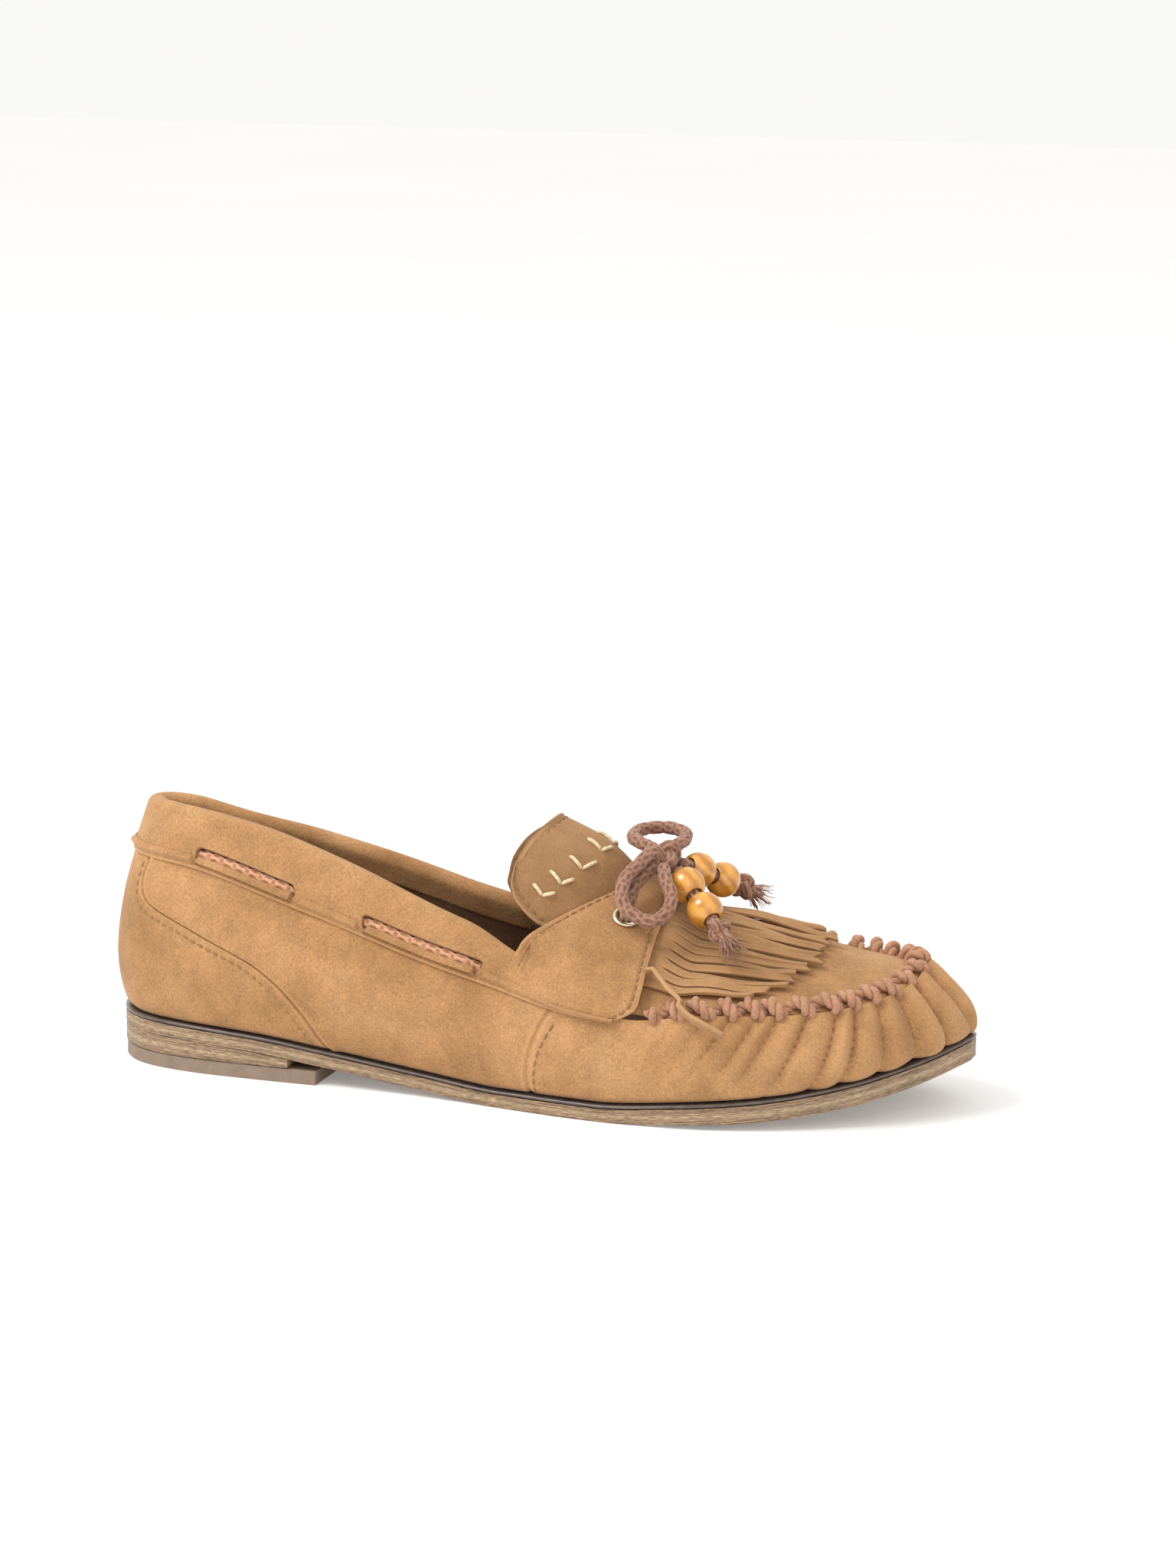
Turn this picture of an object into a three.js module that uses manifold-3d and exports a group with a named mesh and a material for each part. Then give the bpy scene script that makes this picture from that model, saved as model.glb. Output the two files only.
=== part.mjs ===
// A woman's flat suede moccasin for the right foot, millimetres, +Z up, toe towards +X, outer side at -Y.
// It is drawn with the heel's back at x = 0 and is centred over its own footprint at the end.
import * as THREE from 'three';
import Module from 'manifold-3d';
import { mergeVertices } from 'three/addons/utils/BufferGeometryUtils.js';

const wasm = await Module();
wasm.setup();

// ---- driving sizes ----
const soleLength = 258;
const soleWidth = 86;
const toplineHeight = 78; // heel's topline above the ground
const gap = 0.3; // running gap between neighbouring pieces
const seamGap = 0.5; // gap where two panels meet edge to edge
const upperThickness = 1.4;
const liningThickness = 0.8;
const quarterLiningThickness = 1;
const collarProud = 0.8; // the collar lies on the quarter, so it stands out from it
const foldDepth = 5; // how far the collar's fold comes down inside
const stiffenerThickness = 1.1;
const toePuffThickness = 0.7;
// Depths from the upper's outer face to each hidden layer's outer face, with room between layers.
const stiffenerDepth = upperThickness + 1.1;
const toePuffDepth = upperThickness + 0.4;
const quarterLiningDepth = stiffenerDepth + stiffenerThickness + 0.4;
const vampLiningDepth = toePuffDepth + toePuffThickness + 1;
// Thickness of the outsole at x; it grows towards the toe.
const outsoleThicknessPoints = [[0, 3.6], [140, 3.8], [166, 4], [192, 4.8], [214, 5.2], [258, 5.5]];
const randThickness = 0.9;
const randWidth = 5;
const randGap = 0.6; // rand to the filler inside it
const heelLiftThickness = 4.2;
const heelBreast = 69.8; // heel's back to its front face
const heelWedgeEnd = 61;
const fillerThickness = 1.5;
const insoleThickness = 1.8;
const sockThickness = 1.5;
const shankWidth = 12;
const shankStart = 42;
const shankEnd = 132;
const footbedInset = 7; // sole edge to the insole's edge
const upperInset = 1.2; // sole edge to the upper
const laceDiameter = 4;
const laceRise = 4.6; // lace's centre above the collar seam
const laceFlat = 2.4; // lace's thickness where it is pressed in the collar's tunnel
const seamCordDiameter = 3.4;
const eyeletBore = laceDiameter + 0.9;
const eyeletBarrel = eyeletBore + 0.8;
const eyeletFlange = eyeletBarrel + 2.6;
const eyeletFlangeThickness = 0.5;
const beadDiameter = 10.6;
const knotRadius = 5.3;
const endKnotRadius = 3.2;
const fringeThickness = 1.1;
const strandPitch = 0.0395; // share of the apron's width
const strandFill = 0.82; // strand's width as a share of its pitch
const strapFront = 171; // front edge of the saddle strap
const throat = 129; // front end of the foot opening
const threadDiameter = 1.1;

// The last is drawn at these sizes and stretched to the sizes above.
const drawn = { length: 258, width: 86, height: 78 };
const stretchX = soleLength / drawn.length;
const stretchY = soleWidth / drawn.width;
const stretchZ = toplineHeight / drawn.height;

// Stations round the foot, from the heel's back along the outer side to the toe and home along the
// inner side: sole edge x, y; top of the wall x, y, z; swell of the wall between them.
const stations = [
  [0, 0, 6.7, 0, 75.1, 5.6],
  [3.5, -12.5, 10.2, -7.5, 75.1, 5.6],
  [13, -22.4, 18.8, -12.5, 74.9, 5.8],
  [30, -28, 32.8, -16, 73.6, 6.4],
  [54, -30.2, 53.9, -20.3, 70, 7],
  [82, -31.5, 80.1, -24, 62, 7],
  [108, -34, 104.2, -26.6, 52.9, 6.5],
  [130, -38, 126.3, -28.2, 45.3, 6],
  [148, -41.6, 145.5, -34.5, 38.3, 4.5],
  [166, -43.6, 164.6, -38.6, 29.8, 2.6],
  [188, -43, 187.6, -38.2, 32.1, 3],
  [210, -37, 208.6, -32.5, 32.5, 3.2],
  [230, -26.5, 224.6, -24.5, 33.7, 3.5],
  [245, -14, 236, -13.5, 35.9, 4],
  [254, -2, 241.9, -3, 38.6, 4.2],
  [258, 10, 243.9, 7, 42.6, 4],
  [251, 23.5, 239.3, 18, 40.5, 4],
  [236, 34, 227.3, 26.5, 39.3, 4],
  [214, 40, 209.3, 32, 39, 4],
  [190, 42.4, 187.3, 35.5, 38.8, 4],
  [166, 41, 164.3, 37, 36.7, 4],
  [148, 37.5, 145.2, 33, 40.5, 5],
  [128, 33, 125.2, 29, 44, 6],
  [106, 29, 102.1, 27.5, 49.4, 6.5],
  [80, 27, 78, 25, 56.9, 7],
  [54, 29, 53.9, 20.5, 64, 6.5],
  [30, 28.5, 32.8, 15.5, 69.2, 6],
  [13, 23.5, 18.7, 12, 73.2, 5.8],
  [3.5, 13, 10.2, 7.5, 74.6, 5.6],
];
const toeStation = 15;
const lastStation = stations.length;

// Height of the sole's top edge, and of the collar seam, along the shoe.
const soleTopPoints = [
  [0, 15], [30, 14.3], [54, 12.8], [70, 10.9], [101, 7.3], [126, 5], [160, 5], [182, 6.8], [208, 9.2],
  [230, 13], [244, 16.8], [258, 21.6],
];
const collarSeamPoints = [[0, 61.4], [30, 59.2], [70.2, 49.8], [107.4, 39.3], [143.6, 30.5], [159.6, 27.5]];
const innerSeamDrop = 3; // the inner side's seam lies lower
// Between these the vamp's top climbs from the collar seam to the apron's seam.
const vampRise = [165.5, 171.5];
const soleFlatTop = 5; // lowest height of the sole's top edge, under the ball of the foot

// ---- small mathematics ----
const vector = (x, y, z) => new THREE.Vector3(x, y, z);
const stretched = (x, y, z) => vector(x * stretchX, y * stretchY, z * stretchZ);
const mix = THREE.MathUtils.lerp;

function cubic(a, b, c, d, t) {
  return 0.5 * (2 * b + (c - a) * t + (2 * a - 5 * b + 4 * c - d) * t * t + (3 * b - a - 3 * c + d) * t ** 3);
}

// One column of the station table, read at any place round the foot.
function around(column, s) {
  const place = ((s % lastStation) + lastStation) % lastStation;
  const i = Math.floor(place);
  const pick = (k) => stations[(i + k + lastStation) % lastStation][column];
  return cubic(pick(-1), pick(0), pick(1), pick(2), place - i);
}

// A smooth height profile through points with uneven spacing.
function profile(points) {
  const slope = (i) => {
    const a = points[Math.max(i - 1, 0)];
    const b = points[Math.min(i + 1, points.length - 1)];
    return (b[1] - a[1]) / (b[0] - a[0]);
  };
  return (x) => {
    let i = 0;
    while (i < points.length - 2 && x > points[i + 1][0]) i += 1;
    const [x0, y0] = points[i];
    const [x1, y1] = points[i + 1];
    const h = x1 - x0;
    const t = THREE.MathUtils.clamp((x - x0) / h, 0, 1);
    const rise = (2 * t - 3) * t * t;
    return y0 * (1 + rise) - y1 * rise + h * (t * (1 - t) ** 2 * slope(i) - t * t * (1 - t) * slope(i + 1));
  };
}

function findWhere(value, target, low, high) {
  const rising = value(high) > value(low);
  for (let i = 0; i < 30; i += 1) {
    const middle = (low + high) / 2;
    if (value(middle) < target === rising) low = middle;
    else high = middle;
  }
  return (low + high) / 2;
}

// ---- solids ----
function cleaned(positions, index) {
  const geometry = new THREE.BufferGeometry();
  geometry.setAttribute('position', new THREE.BufferAttribute(new Float32Array(positions), 3));
  geometry.setIndex(index);
  const merged = mergeVertices(geometry, 2e-3);
  const old = merged.index.array;
  const kept = [];
  for (let i = 0; i < old.length; i += 3) {
    const [a, b, c] = [old[i], old[i + 1], old[i + 2]];
    if (a !== b && b !== c && c !== a) kept.push(a, b, c);
  }
  if (volume(merged.attributes.position.array, kept) < 0) kept.reverse();
  merged.setIndex(kept);
  return merged;
}

function volume(p, index) {
  let sum = 0;
  for (let i = 0; i < index.length; i += 3) {
    const [a, b, c] = [3 * index[i], 3 * index[i + 1], 3 * index[i + 2]];
    sum += p[a] * (p[b + 1] * p[c + 2] - p[b + 2] * p[c + 1]);
    sum += p[a + 1] * (p[b + 2] * p[c] - p[b] * p[c + 2]);
    sum += p[a + 2] * (p[b] * p[c + 1] - p[b + 1] * p[c]);
  }
  return sum / 6;
}

// Joins sections of equal point counts into one closed body. A section goes up one face and down the
// other, so its end caps zip the two faces together.
function sweep(sections, closed = false) {
  const count = sections[0].length;
  const positions = sections.flatMap((section) => section.flatMap((p) => [p.x, p.y, p.z]));
  const index = [];
  const quad = (a, b, c, d) => index.push(a, b, c, a, c, d);
  const spans = closed ? sections.length : sections.length - 1;
  for (let i = 0; i < spans; i += 1) {
    const here = i * count;
    const next = ((i + 1) % sections.length) * count;
    for (let k = 0; k < count; k += 1) {
      const l = (k + 1) % count;
      quad(here + k, next + k, next + l, here + l);
    }
  }
  if (!closed) {
    const end = (sections.length - 1) * count;
    for (let k = 0; k < count / 2 - 1; k += 1) {
      const l = count - 1 - k;
      quad(k, k + 1, l - 1, l);
      quad(end + l, end + l - 1, end + k + 1, end + k);
    }
  }
  return cleaned(positions, index);
}

const steps = (n) => Array.from({ length: n + 1 }, (_, i) => i / n);

// A panel of even thickness: at(a, b) is its middle surface's place, offset along the surface's normal.
function panel(at, outer, inner, countA, countB) {
  const sections = steps(countA).map((a) => {
    const up = steps(countB).map((b) => at(a, b, outer));
    const down = steps(countB).reverse().map((b) => at(a, b, inner));
    return [...up, ...down];
  });
  return sweep(sections);
}

function toSolid(geometry) {
  const bare = geometry.clone();
  bare.deleteAttribute('normal');
  bare.deleteAttribute('uv');
  const merged = mergeVertices(bare, 1e-3);
  const mesh = new wasm.Mesh({
    numProp: 3,
    vertProperties: merged.attributes.position.array,
    triVerts: new Uint32Array(merged.index.array),
  });
  return new wasm.Manifold(mesh);
}

function fromSolid(solid) {
  const mesh = solid.getMesh();
  const geometry = new THREE.BufferGeometry();
  geometry.setAttribute('position', new THREE.BufferAttribute(new Float32Array(mesh.vertProperties), 3));
  geometry.setIndex(Array.from(mesh.triVerts));
  return geometry;
}

const joined = (parts) => fromSolid(parts.map(toSolid).reduce((sum, part) => sum.add(part)));

function cut(body, tools) {
  return fromSolid(tools.reduce((sum, tool) => sum.subtract(toSolid(tool)), toSolid(body)));
}

function tube(points, diameter, sides, count) {
  const path = new THREE.CatmullRomCurve3(points, false, 'centripetal');
  const section = new THREE.Shape();
  for (let i = 0; i < sides; i += 1) {
    const angle = (2 * Math.PI * i) / sides;
    const x = (diameter / 2) * Math.cos(angle);
    const y = (diameter / 2) * Math.sin(angle);
    if (i === 0) section.moveTo(x, y);
    else section.lineTo(x, y);
  }
  section.closePath();
  return new THREE.ExtrudeGeometry(section, { steps: count, extrudePath: path, curveSegments: 1 });
}

// ---- the last's surfaces ----
const soleTopDrawn = profile(soleTopPoints);
const soleTop = (x) => Math.max(soleTopDrawn(x / stretchX), soleFlatTop) * stretchZ;
const collarSeamDrawn = profile(collarSeamPoints);
const soleEdge = (s) => stretched(around(0, s), around(1, s), 0);
const rim = (s) => stretched(around(2, s), around(3, s), around(4, s));

function outward(s) {
  const along = soleEdge(s + 0.02).sub(soleEdge(s - 0.02)).normalize();
  return vector(along.y, -along.x, 0);
}

function feather(s, inset = upperInset) {
  const p = soleEdge(s).addScaledVector(outward(s), -inset);
  p.z = soleTop(p.x) + gap;
  return p;
}

const wallSwellPower = 0.75; // below 1, so the wall swells most below its middle

function wallBase(s, v) {
  const p = feather(s).lerp(rim(s), v);
  const swell = around(5, s) * Math.sin(Math.PI * THREE.MathUtils.clamp(v, 0, 1) ** wallSwellPower);
  return p.addScaledVector(outward(s), swell);
}

function wallFrame(s, v) {
  const low = Math.max(v - 0.01, 0.002);
  const along = wallBase(s + 0.02, v).sub(wallBase(s - 0.02, v));
  const up = wallBase(s, low + 0.02).sub(wallBase(s, low)).normalize();
  return { normal: along.cross(up).normalize(), up };
}

function wall(s, v, offset = 0) {
  return wallBase(s, v).addScaledVector(wallFrame(s, v).normal, offset);
}

const wallHeight = (s) => rim(s).distanceTo(feather(s));

// Station at a given x on the outer side; the inner side's are counted backwards, below zero.
function outerStation(x) {
  return findWhere((s) => around(0, s), x, 0, toeStation);
}
function innerStation(x) {
  return findWhere((s) => around(0, s), x, toeStation, lastStation) - lastStation;
}

// Share of the wall's height at the collar seam, and at the top of the vamp and quarters.
function seamShare(s) {
  const side = around(1, s) > 0 ? Math.min(around(1, s) / 10, 1) : 0;
  const height = collarSeamDrawn(Math.min(around(0, s), 160)) - innerSeamDrop * side;
  const low = feather(s).z;
  return (height * stretchZ - low) / (rim(s).z - low);
}

function topShare(s) {
  const x = around(0, s);
  if (x >= vampRise[1]) return 1;
  return mix(seamShare(s), 1, THREE.MathUtils.smoothstep(x, ...vampRise));
}

// ---- sole unit ----
function edgeAt(x, side, inset) {
  const place = (s) => soleEdge(s).addScaledVector(outward(s), -inset);
  const s = side < 0
    ? findWhere((k) => place(k).x, x, 0, toeStation)
    : findWhere((k) => place(k).x, x, toeStation, lastStation);
  return place(s).y;
}

function plate({ inset, from = 0, to = soleLength, top, bottom, rows = 20, columns = 3 }) {
  const start = from + (from === 0 ? inset : 0);
  const end = to - (to === soleLength ? inset + 0.2 : 0);
  const span = end - start;
  const roundStart = from === 0;
  const roundEnd = to === soleLength;
  const sections = steps(rows).map((t) => {
    let share = t;
    if (roundStart && roundEnd) share = (1 - Math.cos(Math.PI * t)) / 2;
    else if (roundStart) share = 1 - Math.cos((Math.PI * t) / 2);
    else if (roundEnd) share = Math.sin((Math.PI * t) / 2);
    const x = start + span * THREE.MathUtils.clamp(share, 0.002, 0.998);
    const near = edgeAt(x, -1, inset);
    const far = edgeAt(x, 1, inset);
    const above = steps(columns).map((w) => vector(x, mix(near, far, w), top(x)));
    const below = steps(columns).reverse().map((w) => vector(x, mix(near, far, w), bottom(x)));
    return [...above, ...below];
  });
  return sweep(sections);
}

const outsoleTop = (x) => soleTop(x) - randThickness - gap;
const outsoleThickness = profile(outsoleThicknessPoints);
const outsoleBottom = (x) => Math.max(0, outsoleTop(x) - outsoleThickness(x / stretchX));
const fillerBottom = (x) => outsoleTop(x) + gap;
const fillerTop = (x) => fillerBottom(x) + fillerThickness;
const insoleBottom = (x) => fillerTop(x) + gap;
const insoleTop = (x) => insoleBottom(x) + insoleThickness;
const sockBottom = (x) => insoleTop(x) + gap;
const sockTop = (x) => sockBottom(x) + sockThickness;

function outsole() {
  return plate({ inset: 0, top: outsoleTop, bottom: outsoleBottom, rows: 30 });
}

function heelLift() {
  return plate({ inset: 0.4, to: heelBreast, top: () => heelLiftThickness, bottom: () => 0, rows: 12 });
}

function heelWedge() {
  const top = (x) => outsoleBottom(x) - gap;
  return plate({ inset: 0.1, to: heelWedgeEnd, top, bottom: () => heelLiftThickness + gap, rows: 12 });
}

function rand() {
  const count = 56;
  const sections = steps(count - 1).map((t) => {
    const s = (t * (count - 1) * lastStation) / count;
    const ring = (inset, drop) => {
      const p = soleEdge(s).addScaledVector(outward(s), -inset);
      p.z = soleTop(p.x) - drop;
      return p;
    };
    return [ring(0, 0), ring(randWidth, 0), ring(randWidth, randThickness), ring(0, randThickness)];
  });
  return sweep(sections, true);
}

function shankBar(grow) {
  const at = (a, b, offset) => {
    const x = mix(shankStart - grow, shankEnd + grow, a) * stretchX;
    return vector(x, (b - 0.5) * (shankWidth + 2 * grow), fillerBottom(x) + offset);
  };
  return panel(at, fillerThickness + 3 * grow, grow > 0 ? -2 : 0, 8, 1);
}

function bottomFiller() {
  const body = plate({ inset: randWidth + randGap, top: fillerTop, bottom: fillerBottom, columns: 2 });
  return cut(body, [shankBar(gap)]);
}

const insoleBoard = () => plate({ inset: footbedInset, top: insoleTop, bottom: insoleBottom, columns: 2 });
const sockLiner = () => plate({ inset: footbedInset, top: sockTop, bottom: sockBottom, columns: 2 });

// ---- wall panels ----
// Front edge of the heel counter: [share of the seam's height, x], and the vamp's side seam.
const counterEdge = profile([[0, 74], [0.29, 65], [0.48, 52], [0.58, 32], [0.7, 12], [1, 8.5]]);
const sideSeam = (b) => 138 + 3 * b + 6 * b * b;
const seamStations = seamGap / 16; // a seam's gap counted in stations

function wallPanel(fromS, toS, top, bottom = () => 0.004) {
  return (a, b, offset) => {
    const s = mix(fromS(b), toS(b), a);
    return wall(s, mix(bottom(s), top(s), b), offset);
  };
}

const underSeam = (s) => topShare(s) - seamGap / wallHeight(s);

function heelCounter() {
  const at = wallPanel((b) => innerStation(counterEdge(b)), (b) => outerStation(counterEdge(b)), underSeam);
  return panel(at, 0, -upperThickness, 16, 8);
}

function quarter(side) {
  const station = side < 0 ? outerStation : innerStation;
  const nudge = side < 0 ? seamStations : -seamStations;
  const at = wallPanel(
    (b) => station(counterEdge(b)) + nudge,
    (b) => station(sideSeam(b)) - nudge,
    underSeam,
  );
  return panel(at, 0, -upperThickness, 12, 8);
}

function toeVamp() {
  const start = (b) => outerStation(sideSeam(b));
  const end = (b) => innerStation(sideSeam(b)) + lastStation;
  const at = wallPanel(start, end, (s) => (topShare(s) < 1 ? underSeam(s) : 1));
  return panel(at, 0, -upperThickness, 36, 4);
}

function vampLining() {
  const start = () => outerStation(136);
  const end = () => innerStation(136) + lastStation;
  const at = wallPanel(start, end, () => 0.96, () => 0.01);
  return panel(at, -vampLiningDepth, -vampLiningDepth - liningThickness, 30, 3);
}

function toePuff() {
  const start = () => outerStation(222);
  const end = () => innerStation(222) + lastStation;
  const at = wallPanel(start, end, () => 0.8, () => 0.02);
  return panel(at, -toePuffDepth, -toePuffDepth - toePuffThickness, 12, 3);
}

function heelStiffener() {
  const top = (s) => seamShare(s) * mix(0.96, 0.7, Math.min(around(0, s) / 60, 1));
  const at = wallPanel(() => innerStation(64), () => outerStation(64), top, () => 0.02);
  return panel(at, -stiffenerDepth, -stiffenerDepth - stiffenerThickness, 14, 5);
}

function quarterLining() {
  const top = (s) => 1 - (foldDepth + seamGap) / wallHeight(s);
  const at = wallPanel(() => innerStation(133), () => outerStation(133), top, () => 0.01);
  return panel(at, -quarterLiningDepth, -quarterLiningDepth - quarterLiningThickness, 24, 4);
}

// ---- collar and saddle strap, one piece of suede folded in over the topline ----
const rollOut = collarProud; // outer face of the collar
const rollIn = -quarterLiningDepth - upperThickness; // its face inside the shoe
const rollCentre = (rollOut + rollIn) / 2;
const rollRadius = (rollOut - rollIn) / 2;

function collarSection(s) {
  const { normal, up } = wallFrame(s, 0.985);
  const crown = wall(s, 1, rollCentre);
  const low = seamShare(s) + seamGap / wallHeight(s);
  const fold = 1 - foldDepth / wallHeight(s);
  const face = (outerOffset, innerOffset, radius) => [
    ...steps(3).map((t) => wall(s, mix(low, 1, t), outerOffset)),
    ...[36, 72, 108, 144].map((angle) => {
      const turn = THREE.MathUtils.degToRad(angle);
      const arc = crown.clone().addScaledVector(normal, radius * Math.cos(turn));
      return arc.addScaledVector(up, radius * Math.sin(turn));
    }),
    ...[1, fold].map((v) => wall(s, v, innerOffset)),
  ];
  const skin = face(rollOut, rollIn, rollRadius);
  const inside = face(rollOut - upperThickness, rollIn + upperThickness, rollRadius - upperThickness);
  return [...skin, ...inside.reverse()];
}

// The strap's arches from the outer collar seam over the instep to the inner one: rear edge, middle
// and front edge.
const strapRear = [
  [129.9, -33.2, 41.6], [132.8, -29.3, 48.4], [137.3, -25, 52.1], [145.8, -16, 56.6], [155.1, -8, 60.9],
  [159.6, 2, 65], [157.5, 11, 64.6], [150.5, 20.5, 60], [140.1, 28, 51.9], [133.2, 31, 44.8],
];
const strapMiddle = [
  [149.5, -38, 36.3], [151.9, -34.5, 43], [154.3, -29.5, 48.9], [157.7, -18.5, 54.9], [162.5, -8, 59],
  [165.4, 2, 62.1], [164.6, 12, 62.1], [160.6, 22, 57.6], [153.2, 30.5, 49.1], [149.2, 35.6, 40.5],
];
const strapFrontEdge = [
  [169, -39.6, 32.5], [170.3, -36.8, 37.6], [170.4, -31.5, 43.1], [170.1, -20, 50.5], [170.2, -8, 55.9],
  [170.6, 2, 59], [170.9, 13, 59], [170.3, 24, 54.8], [169.2, 32, 47.8], [168.3, 37.6, 40.3],
];
const strapFeet = [129, 147, 163.6]; // x where each arch leaves the collar seam

function strapArch(points, foot) {
  const onSeam = (s) => wall(s, seamShare(s) + seamGap / wallHeight(s), collarProud);
  const middle = points.map((p) => stretched(...p));
  return [onSeam(outerStation(foot)), ...middle, onSeam(innerStation(foot))];
}
const strapEdges = [strapRear, strapMiddle, strapFrontEdge];
const strapArches = strapEdges.map((points, i) => strapArch(points, strapFeet[i]));

// Cubic through a row of points, share 0 to 1 along it.
function alongRow(row, share) {
  const place = THREE.MathUtils.clamp(share, 0, 1) * (row.length - 1);
  const i = Math.min(Math.floor(place), row.length - 2);
  const at = (k) => {
    if (k < 0) return row[0].clone().multiplyScalar(2).sub(row[1]);
    if (k >= row.length) return row.at(-1).clone().multiplyScalar(2).sub(row.at(-2));
    return row[k];
  };
  const four = [at(i - 1), at(i), at(i + 1), at(i + 2)];
  const axis = (name) => cubic(...four.map((p) => p[name]), place - i);
  return vector(axis('x'), axis('y'), axis('z'));
}

// A sheet through rows of points; share a runs along a row, b across the rows.
function sheet(rows) {
  const base = (a, b) => alongRow(rows.map((row) => alongRow(row, a)), b);
  return (a, b, offset) => {
    const [a0, a1] = [Math.max(a - 0.01, 0), Math.min(a + 0.01, 1)];
    const [b0, b1] = [Math.max(b - 0.01, 0), Math.min(b + 0.01, 1)];
    const normal = base(a1, b).sub(base(a0, b)).cross(base(a, b1).sub(base(a, b0))).normalize();
    return base(a, b).addScaledVector(normal, -offset);
  };
}
const strapSurface = sheet(strapArches);

const laceShare = (s) => seamShare(s) + laceRise / wallHeight(s);

// Long slots in the collar that show the lace: [x of each end], alike on both sides.
const laceWindows = [[26.5, 63.5], [85.5, 123.5]];
const windowHeight = laceDiameter + 0.6;

function laceWindow([from, to], station) {
  const [s0, s1] = [station(from), station(to)];
  const at = (a, b, offset) => {
    const s = mix(s0, s1, a);
    const end = Math.min(a, 1 - a) * (to - from);
    const reach = Math.min(end / (windowHeight / 2), 1);
    const half = (windowHeight / 2) * Math.sqrt(Math.max(1 - (1 - reach) ** 2, 0.05));
    return wall(s, laceShare(s) + ((2 * b - 1) * half) / wallHeight(s), offset);
  };
  return panel(at, collarProud + 1.5, collarProud - upperThickness - 0.1, 8, 1);
}

const eyeletPlace = 0.6; // from the strap's rear edge to its front edge
const outerEyelet = 4.06 / 11; // along the strap's arch
const innerEyelet = 7.9 / 11;

function eyeletAxis(share) {
  const centre = strapSurface(share, eyeletPlace, 0);
  const below = strapSurface(share, eyeletPlace, -1);
  return { centre, normal: centre.clone().sub(below).normalize() };
}

function standing(geometry, centre, direction) {
  geometry.applyQuaternion(new THREE.Quaternion().setFromUnitVectors(vector(0, 1, 0), direction));
  return geometry.translate(centre.x, centre.y, centre.z);
}

function eyeletHole(share) {
  const { centre, normal } = eyeletAxis(share);
  const radius = eyeletBarrel / 2 + gap;
  return standing(new THREE.CylinderGeometry(radius, radius, 8, 16), centre, normal);
}

function saddleCollar() {
  const reach = outerStation(throat + 5);
  const back = innerStation(throat + 5);
  const collar = sweep(steps(28).map((t) => collarSection(mix(back, reach, t))));
  const strap = panel(strapSurface, 0, -upperThickness, 20, 4);
  const windows = laceWindows.flatMap((ends) => [
    laceWindow(ends, outerStation),
    laceWindow(ends, innerStation),
  ]);
  const holes = [outerEyelet, innerEyelet].map(eyeletHole);
  return cut(joined([collar, strap]), [...windows, ...holes]);
}

function eyelet(share) {
  const { centre, normal } = eyeletAxis(share);
  const seat = gap + 0.25;
  const top = seat + eyeletFlangeThickness;
  const under = -upperThickness - seat - eyeletFlangeThickness;
  const outline = [
    [eyeletBore / 2, under], [eyeletBarrel / 2 + 0.6, under], [eyeletBarrel / 2 + 0.6, under + 0.5],
    [eyeletBarrel / 2, under + 0.5], [eyeletBarrel / 2, seat], [eyeletFlange / 2, seat],
    [eyeletFlange / 2 - 0.3, top], [eyeletBore / 2, top], [eyeletBore / 2, under],
  ];
  const ring = new THREE.LatheGeometry(outline.map(([r, y]) => new THREE.Vector2(r, y)), 14);
  return standing(ring, centre, normal);
}

// ---- apron, its lining, and the fringe that lies on it ----
const apronEnds = { rear: 163, front: 240.8 };
// How high the apron rises over the straight line between its two seams, and how that rise leans
// towards the inner side.
const apronRise = profile([
  [163, 21.5], [172, 19.5], [182, 16], [190, 14], [200, 11.5], [212, 8.5], [225, 5], [236, 2.2], [243, 0.6],
]);
const apronLean = profile([[163, 0.95], [172, 1], [182, 1.3], [243, 1.3]]);
const apronMargin = 3.6; // apron's edge in from the top of the wall, leaving the whip seam's cord its room

function rimAt(x, side) {
  const s = side < 0
    ? findWhere((k) => around(2, k), x, 7, toeStation)
    : findWhere((k) => around(2, k), x, toeStation, 22);
  return rim(s);
}

function apronBase(x, w) {
  const near = rimAt(x, -1);
  const far = rimAt(x, 1);
  const p = near.clone().lerp(far, w);
  const rise = apronRise(x) * Math.sin(Math.PI * THREE.MathUtils.clamp(w, 0, 1) ** apronLean(x));
  p.z += rise * stretchZ;
  return p;
}

function apron(x, w, offset) {
  const across = apronBase(x, Math.min(w + 0.01, 1)).sub(apronBase(x, Math.max(w - 0.01, 0)));
  const along = apronBase(x + 0.4, w).sub(apronBase(x - 0.4, w));
  return apronBase(x, w).addScaledVector(along.cross(across).normalize(), offset);
}

function apronPanel(outer, inner, extraMargin) {
  const at = (a, b, offset) => {
    const x = mix(apronEnds.rear, apronEnds.front - 2 * extraMargin, Math.sin((Math.PI * a) / 2));
    const width = rimAt(x, 1).distanceTo(rimAt(x, -1));
    const margin = (apronMargin + extraMargin) / width;
    return apron(x, mix(margin, 1 - margin, b), offset);
  };
  return panel(at, outer, inner, 14, 8);
}

const apronLeather = () => apronPanel(0, -upperThickness, 0);
const underApron = -upperThickness - 4 * gap;
const apronLining = () => apronPanel(underApron, underApron - liningThickness, 1.5);

const cordStart = 173.5; // the seam's cord starts ahead of the strap

// The whip seam's cord lies in the trough between the vamp's top edge and the apron.
function seamCord() {
  const first = findWhere((k) => around(2, k), cordStart, 7, toeStation);
  const last = findWhere((k) => around(2, k), cordStart, toeStation, 22);
  const points = steps(36).map((t) => {
    const s = mix(first, last, t);
    const lift = seamCordDiameter / 2 + gap;
    return rim(s).addScaledVector(outward(s), -1.2).add(vector(0, 0, lift));
  });
  return tube(points, seamCordDiameter, 7, 36);
}

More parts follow.
